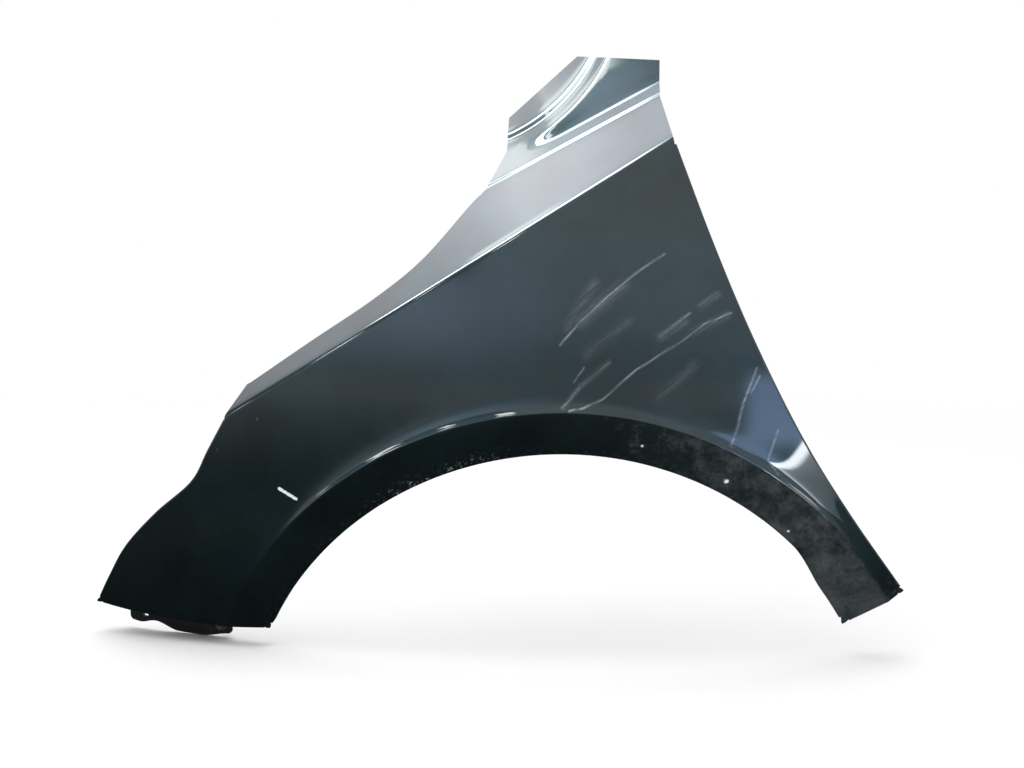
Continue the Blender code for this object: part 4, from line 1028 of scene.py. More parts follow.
near, far = -(SHEET + CLEARANCE), -(SHEET + CLEARANCE + NUT_HEIGHT)
bore, funnel = circle(BOLT_RADIUS + CLEARANCE), circle(BOLT_RADIUS + CLEARANCE + NUT_FUNNEL)
square = flats(NUT_HALF_SIDE, 4)
nut_rows = [ring(near - NUT_FUNNEL_DEPTH, bore), ring(near, funnel), ring(near, square)]
nut_rows += [ring(far, square), ring(far, funnel), ring(far + NUT_FUNNEL_DEPTH, bore)]
nut = baked(add_object("nut_fine", tube(nut_rows + nut_rows[:1], NUT_EDGE)))
print("nut:", len(nut.data.polygons), "faces")

# %% Attach each piece to the root body and hide the CAD node it stands for
for piece, node_name, slot_name in (
    (panel, "fender_panel", "petrol_paint"),
    (rail, "bumper_rail", "black_rail"),
    (bolt, "rail_bolt", "zinc_plate"),
    (bolt_shank, "rail_bolt", "zinc_plate"),
    (nut, "rail_nut", "zinc_plate"),
):
    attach(piece, "root")
    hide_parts(node_name)
    corners = [[round(v * 1000, 1) for v in point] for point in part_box(node_name)]
    print(node_name, corners, len(piece.data.polygons), "faces")

# %% [markdown]
# ## Materials
# Every finish here is made of nodes, and most nodes do one of a few small jobs: a sum, a soft ramp, a
# noise, a blend of two colours, a bump. A helper for each job keeps a material short enough to read.
# The helpers take a plain value or another node's output in the same place.


# %% Node helpers: values
def new_node(tree, kind, **settings):
    made = tree.nodes.new(kind)
    for key, value in settings.items():
        setattr(made, key, value)
    return made


def feed(tree, socket, value):
    """Links a node's output to a socket, or sets the socket to a plain value."""
    if isinstance(value, bpy.types.NodeSocket):
        tree.links.new(value, socket)
    else:
        socket.default_value = value


def sums(tree, operation, a, b=0.0, c=0.0, clamp=False):
    made = new_node(tree, "ShaderNodeMath", operation=operation, use_clamp=clamp)
    for socket, value in zip(made.inputs, (a, b, c)):
        feed(tree, socket, value)
    return made.outputs[0]


def vectors(tree, operation, a, b=(0, 0, 0), output=0):
    made = new_node(tree, "ShaderNodeVectorMath", operation=operation)
    feed(tree, made.inputs[0], a)
    feed(tree, made.inputs[1], b)
    return made.outputs[output]


def scaled(tree, vector, share):
    made = new_node(tree, "ShaderNodeVectorMath", operation="SCALE")
    feed(tree, made.inputs[0], vector)
    feed(tree, made.inputs["Scale"], share)
    return made.outputs[0]


def ramp(tree, value, low, high, start=0.0, end=1.0):
    """The value from low to high, turned into start to end without going past either."""
    made = new_node(tree, "ShaderNodeMapRange", interpolation_type="SMOOTHSTEP")
    for socket, setting in zip(made.inputs, (value, low, high, start, end)):
        feed(tree, socket, setting)
    return made.outputs[0]


print("node helpers for values are ready")


# %% Node helpers: patterns and colours
def noise(tree, where, scale, detail=2.0, roughness=0.5):
    made = new_node(tree, "ShaderNodeTexNoise")
    for name, value in (("Vector", where), ("Scale", scale), ("Detail", detail), ("Roughness", roughness)):
        feed(tree, made.inputs[name], value)
    return made.outputs["Fac"]


def blend(tree, share, first, second):
    made = new_node(tree, "ShaderNodeMix", data_type="RGBA")
    for index, value in ((0, share), (6, first), (7, second)):
        feed(tree, made.inputs[index], (*value, 1) if isinstance(value, tuple) else value)
    return made.outputs[2]


def bump(tree, height, depth, before=None):
    made = new_node(tree, "ShaderNodeBump")
    feed(tree, made.inputs["Height"], height)
    made.inputs["Distance"].default_value = depth
    if before:
        feed(tree, made.inputs["Normal"], before)
    return made.outputs[0]


def mapped(tree, where, kind="POINT", **settings):
    """A Mapping node: TEXTURE turns the pattern before it stretches it, and POINT the other way."""
    made = new_node(tree, "ShaderNodeMapping", vector_type=kind)
    feed(tree, made.inputs["Vector"], where)
    for name, value in settings.items():
        made.inputs[name].default_value = value
    return made.outputs[0]


def parts_of(tree, vector):
    made = new_node(tree, "ShaderNodeSeparateXYZ")
    feed(tree, made.inputs[0], vector)
    return made.outputs


print("node helpers for patterns are ready")


# %% Node helpers: materials and groups
def new_material(name):
    made = bpy.data.materials.new(name)
    made.use_nodes = True
    return made, made.node_tree, made.node_tree.nodes["Principled BSDF"]


def own_place(tree):
    return new_node(tree, "ShaderNodeTexCoord").outputs["Object"]


def wheel_place(tree):
    """Object coordinates counted from the wheel's centre."""
    return mapped(tree, own_place(tree), Location=DATUM)


def new_group(name, inputs):
    """A node group with its inputs, each given as a name with its kind and first value, and one output."""
    made = bpy.data.node_groups.new(name, "ShaderNodeTree")
    for socket_name, (kind, value) in inputs.items():
        socket = made.interface.new_socket(socket_name, in_out="INPUT", socket_type="NodeSocket" + kind)
        if value is not None:
            socket.default_value = value
    made.interface.new_socket("Mask", in_out="OUTPUT", socket_type="NodeSocketFloat")
    return made, made.nodes.new("NodeGroupInput").outputs, made.nodes.new("NodeGroupOutput").inputs["Mask"]


def use(tree, group, **values):
    """Places a group with its own values and gives back its mask."""
    made = new_node(tree, "ShaderNodeGroup", node_tree=group)
    for name, value in values.items():
        feed(tree, made.inputs[name], value)
    return made.outputs["Mask"]


print("the wheel's centre lies at", [round(-v, 4) for v in DATUM], "in the frame")

# %% [markdown]
# ## Scratches, a painted glint and dust as node groups
# The same stroke also draws one painted highlight, a white glint of light near the nose.
# Where something rubbed along the real panel, the clear coat is torn and looks pale. Here a scratch
# is a short straight stroke with soft sides: full on its line and nothing at its width. A long scratch
# is several strokes in a row. Each stroke takes the marks made before it and gives back the stronger
# of the two. Its first node also reads those marks, by a millionth, so that the renderer works the
# strokes out one after another: side by side, this many would overflow its memory.
#
# Dust is a soft noise with fine specks in it, and the more of it there is, the lower it starts.


# %% The stroke group, for scratches and the painted glint
STROKE_POWER, IN_TURN = 1.6, 1e-6

stroke_group, given, result = new_group("scratch_and_glint_stroke", {
    "Place": ("Vector", None), "Start": ("Vector", None), "End": ("Vector", None),
    "Width": ("Float", 0.001), "Strength": ("Float", 1.0), "Marks": ("Float", 0.0),
})
tree = stroke_group
in_turn = new_node(tree, "ShaderNodeVectorMath", operation="MULTIPLY_ADD")
for socket, value in zip(in_turn.inputs, (given["Marks"], (IN_TURN, IN_TURN, IN_TURN), given["Place"])):
    feed(tree, socket, value)
reach = vectors(tree, "SUBTRACT", in_turn.outputs[0], given["Start"])
whole = vectors(tree, "SUBTRACT", given["End"], given["Start"])
along, square = [vectors(tree, "DOT_PRODUCT", vector, whole, output=1) for vector in (reach, whole)]
nearest = scaled(tree, whole, sums(tree, "DIVIDE", along, square, clamp=True))
away = vectors(tree, "LENGTH", vectors(tree, "SUBTRACT", reach, nearest), output=1)
line = sums(tree, "SUBTRACT", 1.0, sums(tree, "DIVIDE", away, given["Width"]), clamp=True)
line = sums(tree, "MULTIPLY", sums(tree, "POWER", line, STROKE_POWER), given["Strength"])
feed(tree, result, sums(tree, "MAXIMUM", given["Marks"], line))
print(stroke_group.name, "has", len(tree.nodes), "nodes")

# %% The dust group
dust_group, given, result = new_group(
    "dust", {"Place": ("Vector", None), "Amount": ("Float", 0.5), "Size": ("Float", 60.0)},
)
tree = dust_group
cloud = noise(tree, given["Place"], sums(tree, "MULTIPLY", given["Size"], 0.2), 4.0, 0.65)
speck = noise(tree, given["Place"], given["Size"], 4.0, 0.7)
patchy = sums(tree, "ADD", sums(tree, "MULTIPLY", cloud, 0.6), sums(tree, "MULTIPLY", speck, 0.4))
level = sums(tree, "SUBTRACT", 1.0, given["Amount"])
feed(tree, result, ramp(tree, patchy, sums(tree, "MULTIPLY_ADD", level, 0.5, 0.2), 0.75))
print(dust_group.name, "has", len(tree.nodes), "nodes")

# %% [markdown]
# ## The petrol paint
# The paint is metal flakes in a dark tint under clear coat, so it is mostly metallic, with a smooth
# coat over it, and a very fine noise between two tints for the flakes. On top of that come the marks
# of use, each a mask from nothing to one: scuffs drawn as strokes and broken up along their direction,
# chips near the arch's lip, and dust towards the rear and the foot. One white stroke among the scuffs
# is a painted highlight, a glint of light near the nose. A mask takes away metal and coat, and brings
# in its own colour. A painted picture could carry them too, but masks made of nodes need no file and
# stay sharp from near by.

# %% Where the scratches run
# Each is a width, a strength, and points (x behind and z over the wheel's centre), all in metres.
SCRATCHES = (
    (0.0022, 0.29, (0.1080, 0.5770), (0.0752, 0.5548), (0.0459, 0.5304), (0.0181, 0.5048),
     (-0.0033, 0.4803)),
    (0.0120, 0.09, (0.0640, 0.5435), (0.0459, 0.5290)),
    (0.0130, 0.09, (0.0459, 0.5290), (0.0181, 0.5048)),
    (0.0110, 0.07, (0.0330, 0.5450), (0.0040, 0.5000)),
    (0.0022, 0.31, (0.1798, 0.5143), (0.1509, 0.5026), (0.1274, 0.4845), (0.0782, 0.4536),
     (0.0430, 0.4224), (0.0226, 0.4128), (0.0065, 0.4097)),
    (0.0080, 0.07, (0.1750, 0.5120), (0.1400, 0.4940)),
    (0.0022, 0.24, (0.1359, 0.5144), (0.1017, 0.4899)),
    (0.0090, 0.10, (0.1300, 0.5060), (0.1050, 0.4900)),
    (0.0070, 0.10, (0.1658, 0.5335), (0.1476, 0.5218)),
    (0.0018, 0.31, (0.0225, 0.4557), (0.0118, 0.4407)),
    (0.0050, 0.13, (0.0493, 0.4622), (0.0183, 0.4353)),
    (0.0040, 0.20, (0.0183, 0.4353), (0.0001, 0.4128)),
    (0.0120, 0.04, (0.0700, 0.5050), (0.0250, 0.4700)),
    (0.0110, 0.04, (0.1415, 0.4588), (0.1042, 0.4245)),
    # The next six strokes are pale lines near the door edge, drawn in the paint.
    (0.0022, 0.27, (0.2081, 0.4555), (0.1935, 0.4168)),
    (0.0030, 0.18, (0.1935, 0.4168), (0.1874, 0.3886)),
    (0.0026, 0.18, (0.1874, 0.3886), (0.1810, 0.3714)),
    (0.0020, 0.20, (0.2114, 0.4469), (0.2020, 0.4286)),
    (0.0022, 0.20, (0.2316, 0.3874), (0.2213, 0.3558)),
    (0.0022, 0.20, (0.2213, 0.3558), (0.2323, 0.3406)),
)
# Small spots chipped to the bare white primer, and a painted highlight near the nose: its short white
# stroke stands for a glint of light.
CHIPS_AND_PAINTED_GLINT = (
    (0.0034, 3.00, (0.1767, 0.3323), (0.1775, 0.3318)),
    (0.0020, 2.00, (0.0854, 0.3711), (0.0860, 0.3709)),
    (0.0020, 2.00, (0.2455, 0.2761), (0.2460, 0.2759)),
    # The last one is the painted highlight, a glint of light drawn as a white stroke.
    (0.0023, 6.00, (-0.3108, 0.3166), (-0.2920, 0.3058)),
)
print(len(SCRATCHES) + len(CHIPS_AND_PAINTED_GLINT), "marks")

# %% Scuffs and the painted glint
STREAK_TURN, STREAK_SIZE, FINE_SCALE = math.radians(-37), (0.04, 0.02, 0.0022), 700.0

paint, tree, shader = new_material("petrol_paint")
place = wheel_place(tree)
side_x, _, side_z = parts_of(tree, place)
flat = new_node(tree, "ShaderNodeCombineXYZ")
feed(tree, flat.inputs["X"], side_x)
feed(tree, flat.inputs["Z"], side_z)
side_view = flat.outputs[0]
marks = 0.0
for width, strength, *spots in SCRATCHES + CHIPS_AND_PAINTED_GLINT:
    for start, end in zip(spots, spots[1:]):
        marks = use(
            tree, stroke_group, Place=side_view, Start=(start[0], 0, start[1]), End=(end[0], 0, end[1]),
            Width=width, Strength=strength, Marks=marks,
        )
brushed = mapped(tree, place, "TEXTURE", Rotation=(0.0, STREAK_TURN, 0.0), Scale=STREAK_SIZE)
streaks = noise(tree, brushed, 1.0, 3.0, 0.6)
scuffs_and_glint = sums(tree, "MULTIPLY", marks, ramp(tree, streaks, 0.36, 0.62, 0.35, 1.3))
broken = ramp(tree, noise(tree, place, FINE_SCALE, 2.0), 0.3, 0.6, 0.5, 1.0)
scuffs_and_glint = sums(tree, "MULTIPLY", scuffs_and_glint, broken, clamp=True)
print("the paint has", sum(node.type == "GROUP" for node in tree.nodes), "strokes")

# %% Chips and dust
CHIP_BAND, CHIP_CENTRE, CHIP_SCALE = (0.003, 0.018), -0.14, 300.0
DUST_SIZE, LEAST_DUST, DUST_FILM = 230.0, 0.12, 0.13

from_arch = sums(tree, "SUBTRACT", vectors(tree, "LENGTH", side_view, output=1), ARCH_RADIUS)
near_lip = ramp(tree, from_arch, *CHIP_BAND, 1.0, 0.0)
chips = sums(tree, "MULTIPLY", ramp(tree, noise(tree, place, CHIP_SCALE, 3.0, 0.7), 0.56, 0.66), near_lip)
off_front = sums(tree, "ABSOLUTE", sums(tree, "SUBTRACT", side_x, CHIP_CENTRE))
chips = sums(tree, "MULTIPLY", chips, ramp(tree, off_front, 0.04, 0.1, 1.0, 0.15))
low = ramp(tree, side_z, 0.30, 0.17, 0.0, 0.35)
rearward = ramp(tree, side_x, -0.04, 0.22)
band = ramp(tree, from_arch, FLARE_WIDTH + 0.003, FLARE_WIDTH - 0.004)
dusty = sums(tree, "MULTIPLY", rearward, sums(tree, "MULTIPLY_ADD", band, 0.62, low))
dust = use(tree, dust_group, Place=place, Amount=sums(tree, "ADD", dusty, LEAST_DUST), Size=DUST_SIZE)
film = sums(tree, "MULTIPLY", sums(tree, "MULTIPLY", band, rearward), DUST_FILM)
film = sums(tree, "MULTIPLY_ADD", dust, 0.55, film, clamp=True)
print("chips lie", CHIP_BAND[1] * 1000, "mm from the lip at most")

# %% Colour, metal and coat
PAINT_DARK, PAINT_LIGHT = (0.0035, 0.0135, 0.015), (0.010, 0.026, 0.031)
DUST_COLOUR, CHIP_COLOUR, SCUFF_AND_GLINT_COLOUR = (0.13, 0.14, 0.14), (0.16, 0.18, 0.19), (0.78, 0.82, 0.83)
PAINT_METALLIC, PAINT_ROUGHNESS, BARE_ROUGHNESS = 0.8, 0.35, 0.6
FLAKE_SCALE, HAZE_SCALE, PEEL_SCALE, PEEL_DEPTH, DUST_DEPTH = 2600.0, 11.0, 320.0, 0.00001, 0.00005

tone = blend(tree, ramp(tree, noise(tree, place, FLAKE_SCALE, 1.0), 0.3, 0.7), PAINT_DARK, PAINT_LIGHT)
haze = ramp(tree, noise(tree, place, HAZE_SCALE, 4.0, 0.6), 0.3, 0.7, 0.76, 1.28)
tone = blend(tree, film, scaled(tree, tone, haze), DUST_COLOUR)
# Scuffs and the painted glint near the nose bring in the same pale colour, and take away metal and coat.
tone = blend(tree, scuffs_and_glint, blend(tree, chips, tone, CHIP_COLOUR), SCUFF_AND_GLINT_COLOUR)
damage_and_glint = sums(tree, "MAXIMUM", scuffs_and_glint, chips)
sound = sums(tree, "SUBTRACT", 1.0, sums(tree, "MAXIMUM", damage_and_glint, sums(tree, "MULTIPLY", dust, 0.5)))
roughness = sums(tree, "MULTIPLY_ADD", sound, PAINT_ROUGHNESS - BARE_ROUGHNESS, BARE_ROUGHNESS)
feed(tree, shader.inputs["Base Color"], tone)
feed(tree, shader.inputs["Metallic"], sums(tree, "MULTIPLY", sound, PAINT_METALLIC))
feed(tree, shader.inputs["Roughness"], roughness)
feed(tree, shader.inputs["Coat Weight"], sums(tree, "MULTIPLY_ADD", damage_and_glint, -0.9, 1.0))
shader.inputs["Coat Roughness"].default_value = 0.03
peel = bump(tree, noise(tree, place, PEEL_SCALE, 1.0), PEEL_DEPTH)
feed(tree, shader.inputs["Normal"], bump(tree, sums(tree, "SUBTRACT", dust, scuffs_and_glint), DUST_DEPTH, peel))
print(paint.name, "has", len(tree.nodes), "nodes")

# %% [markdown]
# ## The inner face
# Behind, the real panel has only its dipped primer with some of the colour blown over it, dull and
# dusty from the road. One flat colour would look unused, so a large soft noise mixes two dark tones.
# The dust group lies over them, and the face is rougher where the dust lies.

# %% Inner paint
inner_paint, tree, shader = new_material("inner_paint")
place = wheel_place(tree)
dust = use(tree, dust_group, Place=place, Amount=0.55, Size=35.0)
tone = blend(tree, noise(tree, place, 14.0, 4.0, 0.6), (0.010, 0.018, 0.024), (0.022, 0.032, 0.038))
feed(tree, shader.inputs["Base Color"], blend(tree, dust, tone, (0.085, 0.08, 0.072)))
feed(tree, shader.inputs["Roughness"], ramp(tree, dust, 0.0, 1.0, 0.42, 0.85))
feed(tree, shader.inputs["Normal"], bump(tree, noise(tree, place, 420.0, 3.0), 0.00004))
print(inner_paint.name, "has", len(tree.nodes), "nodes")

# %% [markdown]
# ## Black plastic
# The rail is moulded in satin black plastic, with a fine grain that comes from the mould. The grain
# could be modelled, but here it is finer than a pixel, so the bump of a very fine noise gives it.

# %% Black rail
black, tree, shader = new_material("black_rail")
place = wheel_place(tree)
dust = use(tree, dust_group, Place=place, Amount=0.35, Size=160.0)
feed(tree, shader.inputs["Base Color"], blend(tree, dust, (0.012, 0.012, 0.013), (0.06, 0.058, 0.053)))
feed(tree, shader.inputs["Roughness"], ramp(tree, dust, 0.0, 1.0, 0.40, 0.75))
feed(tree, shader.inputs["Normal"], bump(tree, noise(tree, place, 1500.0, 2.0), 0.00003))
print(black.name, "has", len(tree.nodes), "nodes")

# %% [markdown]
# ## Zinc plate
# The bolt and the nut are zinc plated, bright with a fine grain, and brown dust sits in places. A
# picture could carry the grain, but a noise that a Mapping node draws flat needs none, and it changes
# the tint, the roughness and the bump together, as real grain does.

# %% Zinc plate
zinc, tree, shader = new_material("zinc_plate")
place = wheel_place(tree)
dust = use(tree, dust_group, Place=place, Amount=0.3, Size=420.0)
grain = noise(tree, mapped(tree, place, Scale=(300.0, 300.0, 2200.0)), 1.0, 3.0)
tone = blend(tree, grain, (0.56, 0.56, 0.55), (0.70, 0.70, 0.67))
feed(tree, shader.inputs["Base Color"], blend(tree, dust, tone, (0.30, 0.28, 0.24)))
shader.inputs["Metallic"].default_value = 1.0
roughness = sums(tree, "MULTIPLY_ADD", grain, 0.1, 0.22)
feed(tree, shader.inputs["Roughness"], sums(tree, "MULTIPLY_ADD", dust, 0.35, roughness))
feed(tree, shader.inputs["Normal"], bump(tree, grain, 0.00001))
print(zinc.name, "has", len(tree.nodes), "nodes")

# %% Give each piece its finish
panel.data.materials[0], panel.data.materials[1] = paint, inner_paint
for piece, finish in ((rail, black), (bolt, zinc), (bolt_shank, zinc), (nut, zinc)):
    piece.data.materials.append(finish)
    print(piece.name, "has", finish.name)

# %% [markdown]
# ## The floor
# The floor is a wide pale card that keeps the part's shadow. Further out it fades to plain white for
# the rays that are seen directly, so that floor and background meet with no horizon. The white is a
# colour of strength 1 and adds no light to the part, because lighting rays still see the pale floor.


# %% Cards
WHITE = (1, 1, 1)


def at(x, y, z):
    """A place given from the wheel's centre."""
    return Vector((x, y, z)) - DATUM


def card(name, centre, size, tilt=0.0, shift=(0, 0)):
    """A flat rectangle, lying or tilted up, with its own origin at the centre."""
    mesh = bmesh.new()
    bmesh.ops.create_grid(mesh, x_segments=1, y_segments=1, size=0.5)
    mesh.transform(Matrix.Translation((*shift, 0)) @ Matrix.Diagonal((*size, 1, 1)))
    made = add_object(name, mesh)
    made.location, made.rotation_euler.x = centre, tilt
    return made


def seen(tree):
    """One for the rays that are seen, directly, mirrored or through glass, and zero for lighting rays."""
    rays = new_node(tree, "ShaderNodeLightPath")
    either = sums(tree, "ADD", rays.outputs["Is Camera Ray"], rays.outputs["Is Glossy Ray"])
    return sums(tree, "ADD", either, rays.outputs["Is Transmission Ray"], clamp=True)


floor_height = min(vert.co.z for piece in (panel, rail) for vert in piece.data.vertices)
print("the floor lies at", round(floor_height * 1000, 1), "mm")

# %% Floor
FLOOR_TONE, FADE_START, FADE_END = 0.93, 0.7, 2.2

floor = card("floor", Vector((0.1, 0.0, floor_height)), (30, 30))
floor_paint, tree, shader = new_material("floor")
shader.inputs["Base Color"].default_value = (FLOOR_TONE, FLOOR_TONE, FLOOR_TONE, 1)
shader.inputs["Roughness"].default_value = 0.9
far_off = ramp(tree, vectors(tree, "LENGTH", own_place(tree), output=1), FADE_START, FADE_END)
fading = new_node(tree, "ShaderNodeMixShader")
feed(tree, fading.inputs[0], sums(tree, "MULTIPLY", far_off, seen(tree)))
tree.links.new(shader.outputs[0], fading.inputs[1])
tree.links.new(new_node(tree, "ShaderNodeEmission").outputs[0], fading.inputs[2])
tree.links.new(fading.outputs[0], tree.nodes["Material Output"].inputs["Surface"])
floor.data.materials.append(floor_paint)
print("the floor fades to white from", FADE_START, "to", FADE_END, "m")

# %% [markdown]
# ## Cards that only reflections see
# Gloss paint shows the room more than itself, so the studio is built for its reflections: each card
# stands where the mirrored rays of one part of the skin land. A canopy overhead, brighter over the
# middle, lights the shoulder. Dark cloth on the floor in front, and a grey wall behind it, keep the
# side of the panel dark, and dark headers stop the white background above them. A few lamps draw the
# bright lines along the folds. Mirrored rays alone see these cards, so they add no light of their own.


# %% Glow
def levels(tree, value, stops):
    """A curve through pairs of value and level, straight between them."""
    result = stops[0][1]
    for (start, low), (end, high) in zip(stops, stops[1:]):
        made = new_node(tree, "ShaderNodeMapRange")
        for socket, setting in zip(made.inputs, (value, start, end, 0.0, high - low)):
            feed(tree, socket, setting)
        result = sums(tree, "ADD", result, made.outputs[0])
    return result


def even(level):
    return lambda tree, where: level


def glow(made, colour, level_at, soft=0.0):
    """Makes a card glow for reflections alone, with a level for each place on it and soft edges."""
    made.visible_camera = made.visible_diffuse = made.visible_shadow = made.visible_transmission = False
    finish = bpy.data.materials.new(made.name)
    finish.use_nodes = True
    tree = finish.node_tree
    tree.nodes.clear()
    where = own_place(tree)
    light = new_node(tree, "ShaderNodeEmission")
    light.inputs["Color"].default_value = (*colour, 1)
    feed(tree, light.inputs["Strength"], level_at(tree, where))
    shade = light.outputs[0]
    if soft:
        halves = [side / 2 for side in made.dimensions[:2]]
        edges = [ramp(tree, sums(tree, "ABSOLUTE", value), half, half * (1 - soft))
                 for value, half in zip(parts_of(tree, where), halves)]
        both = new_node(tree, "ShaderNodeMixShader")
        feed(tree, both.inputs[0], sums(tree, "MULTIPLY", *edges))
        tree.links.new(new_node(tree, "ShaderNodeBsdfTransparent").outputs[0], both.inputs[1])
        tree.links.new(shade, both.inputs[2])
        shade = both.outputs[0]
    tree.links.new(shade, new_node(tree, "ShaderNodeOutputMaterial").inputs["Surface"])
    made.data.materials.append(finish)
    print(made.name, "of", [round(side, 2) for side in made.dimensions[:2]], "m")


# %% Cloth, wall and canopy
# The cloth's levels go by the distance from the part in metres, and the others' by places on the card.
CLOTH_LEVELS = (
    (0.48, 0.03), (0.6, 0.08), (0.75, 0.06), (0.95, 0.04),
    (1.2, 0.09), (2.0, 0.29), (4.0, 0.62), (9.0, 0.68),
)
WALL_LEVELS = ((0.4, 0.62), (1.5, 1.0), (2.4, 1.12))
CANOPY_LENGTH = (
    (-3.6, 0.0), (-2.3, 1.6), (-1.9, 1.9), (-1.4, 2.5), (-1.15, 3.8), (-0.97, 6.2), (-0.75, 5.8),
    (-0.55, 4.0), (-0.3, 3.6), (0.5, 2.0),
)
CANOPY_WIDTH = ((-1.05, 0.0), (-0.6, 0.35), (-0.3, 0.75), (0.0, 1.0))


def cloth_level(tree, where):
    return levels(tree, vectors(tree, "LENGTH", where, output=1), CLOTH_LEVELS)


def wall_level(tree, where):
    return levels(tree, parts_of(tree, where)[1], WALL_LEVELS)


def canopy_level(tree, where):
    x, y, _ = parts_of(tree, where)
    lengthwise, across = levels(tree, x, CANOPY_LENGTH), levels(tree, y, CANOPY_WIDTH)
    return sums(tree, "MULTIPLY_ADD", lengthwise, across, 1.0)


ground = Vector((at(-0.1, 0, 0).x, at(0, 0, 0).y, floor_height + 0.002))
glow(card("dark_cloth", ground, (18, 9.4), shift=(0, -4.3)), WHITE, cloth_level)
wall_foot = ground + Vector((0, -9, 0))
glow(card("grey_wall", wall_foot, (18, 3), math.pi / 2, (0, 1.5)), (0.86, 1.0, 1.13), wall_level)
glow(card("canopy", at(0, 0, 2.2), (4.1, 2.6), shift=(-1.55, 0.2)), (0.95, 0.9, 0.95), canopy_level)

# %% Lamps overhead
# Each has a name, a centre, a size, a turn in degrees, a level, a colour and how much of it is edge.
OVERHEAD_LAMPS = (
    ("ridge_lamp", (-0.68, -0.88, 2.18), (0.78, 0.6), 0, 14.0, WHITE, 0.25),
    ("corner_glow", (-1.02, 0.22, 2.17), (0.5, 0.52), 0, 11.0, WHITE, 0.5),
    ("trough_glow", (-0.42, -1.42, 2.16), (0.6, 0.9), 0, 2.8, (0.86, 1.0, 1.3), 0.9),
    ("corner_lamp", (-1.08, -1.3, 2.19), (0.36, 0.45), 0, 14.0, WHITE, 0.3),
    ("crease_lamp", (-0.95, -0.5, 1.86), (1.5, 0.45), 12, 34.0, WHITE, 0.2),
)
for name, centre, size, turn, level, colour, soft in OVERHEAD_LAMPS:
    made = card(name, at(*centre), size)
    made.rotation_euler.z = math.radians(turn)
    glow(made, colour, even(level), soft)

# %% Lamps seen from a spot on the skin
# Each has a name, the spot, an azimuth and elevation, a distance, a size, a level, a colour and its edge.
AIMED_LAMPS = (
    ("header_front", (-0.2, 0.03, 0.4), -66, 21, 3.6, (4.2, 1.9), 0.2, WHITE, 0.3),
    ("header_side", (-0.2, 0.03, 0.4), -22, 25, 3.8, (2.0, 1.9), 0.25, WHITE, 0.3),
    ("flare_lamp_1", (-0.265, 0.032, 0.309), -49, 7, 3, (0.14, 0.2), 9, WHITE, 0.2),
    ("flare_lamp_2", (-0.19, 0.017, 0.358), -37.5, 16, 3, (0.47, 0.3), 16, WHITE, 0.2),
    ("flare_lamp_3", (-0.125, 0.009, 0.386), -25, 23, 3, (0.16, 0.3), 16, WHITE, 0.2),
    ("flare_lamp_4", (-0.06, 0.005, 0.393), -13, 27, 3, (0.21, 0.3), 16, WHITE, 0.2),
    ("rear_lamp", (0.27, 0.005, 0.31), 33, 10, 3, (0.22, 0.4), 9, WHITE, 0.2),
    ("window_glow", (-0.13, 0.015, 0.47), -19, 7, 6, (4.8, 2.1), 1.0, (1.3, 1.6, 2.1), 1.0),
)
for name, spot, azimuth, elevation, far, size, level, colour, soft in AIMED_LAMPS:
    side, up = math.radians(azimuth), math.radians(elevation)
    way = Vector((math.sin(side) * math.cos(up), -math.cos(side) * math.cos(up), math.sin(up)))
    made = card(name, at(*spot) + way * far, size)
    made.rotation_euler = (-way).to_track_quat("Z", "Y").to_euler()
    glow(made, colour, even(level), soft)

# %% Lamps beside the door edge
# The first draws the hooked highlight behind the arch: bright along one side, and turned to match it.
DOOR_ACROSS = ((-0.0845, 0.4), (0.0255, 1.3), (0.0555, 2.6), (0.0675, 22.0))
DOOR_UP = ((-0.1, 0.1), (-0.01, 0.8), (0.03, 1.5), (0.07, 8.0))
DOOR_LAMP_TURN = math.radians(20)


def door_level(tree, where):
    x, y, _ = parts_of(tree, where)
    return sums(tree, "ADD", levels(tree, x, DOOR_ACROSS), levels(tree, y, DOOR_UP))


door_way = Vector((-0.3083, 0.9488, 0.0698)).to_track_quat("Z", "Y").to_matrix()
door_lamp = card("door_lamp", at(0.4687, -0.7047, 0.2153), (0.169, 0.20))
door_lamp.rotation_euler = (door_way @ Matrix.Rotation(DOOR_LAMP_TURN, 3, "Z")).to_euler()
glow(door_lamp, (0.95, 1, 1.06), door_level, 0.08)
door_glow = card("door_glow", at(0.3700, -0.7483, 0.3376), (0.150, 0.25))
door_glow.rotation_euler = door_way.to_euler()
glow(door_glow, (0.72, 1.0, 1.6), even(2.6), 0.5)

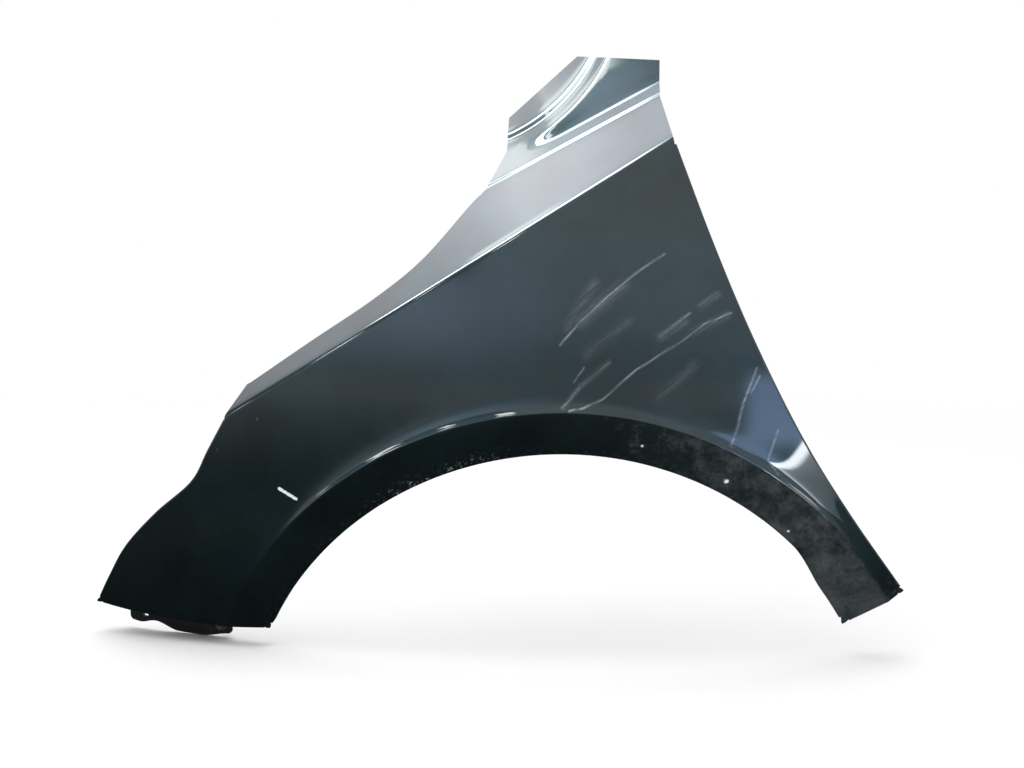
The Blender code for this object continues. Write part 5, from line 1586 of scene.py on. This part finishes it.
# %% [markdown]
# ## Plain light
# The world is an even white that lights the part from all sides at a plain level, and one soft lamp
# overhead gives the shadow its direction. The world's strength is 1 for the rays that are seen, which
# makes the background white, and a little less for lighting rays.

# %% Light
WORLD_LEVEL, LAMP_LEVEL, LAMP_SIZE = 0.9, 2.8, (1.6, 1.2)

world = bpy.data.worlds.new("studio")
bpy.context.scene.world = world
world.use_nodes = True
tree = world.node_tree
tree.nodes.clear()
sky = new_node(tree, "ShaderNodeBackground")
feed(tree, sky.inputs["Strength"], sums(tree, "MULTIPLY_ADD", seen(tree), 1 - WORLD_LEVEL, WORLD_LEVEL))
sky.inputs["Color"].default_value = (*WHITE, 1)
tree.links.new(sky.outputs[0], new_node(tree, "ShaderNodeOutputWorld").inputs["Surface"])
soft_light = bpy.data.lights.new("soft_lamp", "AREA")
soft_light.shape = "RECTANGLE"
soft_light.size, soft_light.size_y = LAMP_SIZE
soft_light.energy = LAMP_LEVEL * math.pi * soft_light.size * soft_light.size_y
soft_lamp = bpy.data.objects.new("soft_lamp", soft_light)
soft_lamp.location = at(-0.3, 0.2, 2.4)
soft_lamp.visible_camera = soft_lamp.visible_glossy = False
bpy.context.scene.collection.objects.link(soft_lamp)
print("soft lamp of", round(soft_light.energy, 1), "W")

# %% [markdown]
# ## The camera
# The camera looks at the part's outer side from a little above, as the photograph does. Its aim and
# distance were fitted so that the outline falls where the photograph has it.

# %% Camera
CAMERA_AIM, CAMERA_DISTANCE, CAMERA_RAISE = at(-0.054677, 0.0, 0.43923), 2.1305, math.radians(8)

camera_data = bpy.data.cameras.new("camera")
camera_data.sensor_width, camera_data.lens = 36, 70
camera = bpy.data.objects.new("camera", camera_data)
camera_way = Vector((0, -math.cos(CAMERA_RAISE), math.sin(CAMERA_RAISE)))
camera.location = CAMERA_AIM + camera_way * CAMERA_DISTANCE
camera.rotation_euler = (math.pi / 2 - CAMERA_RAISE, 0, 0)
bpy.context.scene.collection.objects.link(camera)
bpy.context.scene.camera = camera
bpy.context.scene.view_settings.view_transform = "Standard"
print("camera at", [round(v, 3) for v in camera.location])
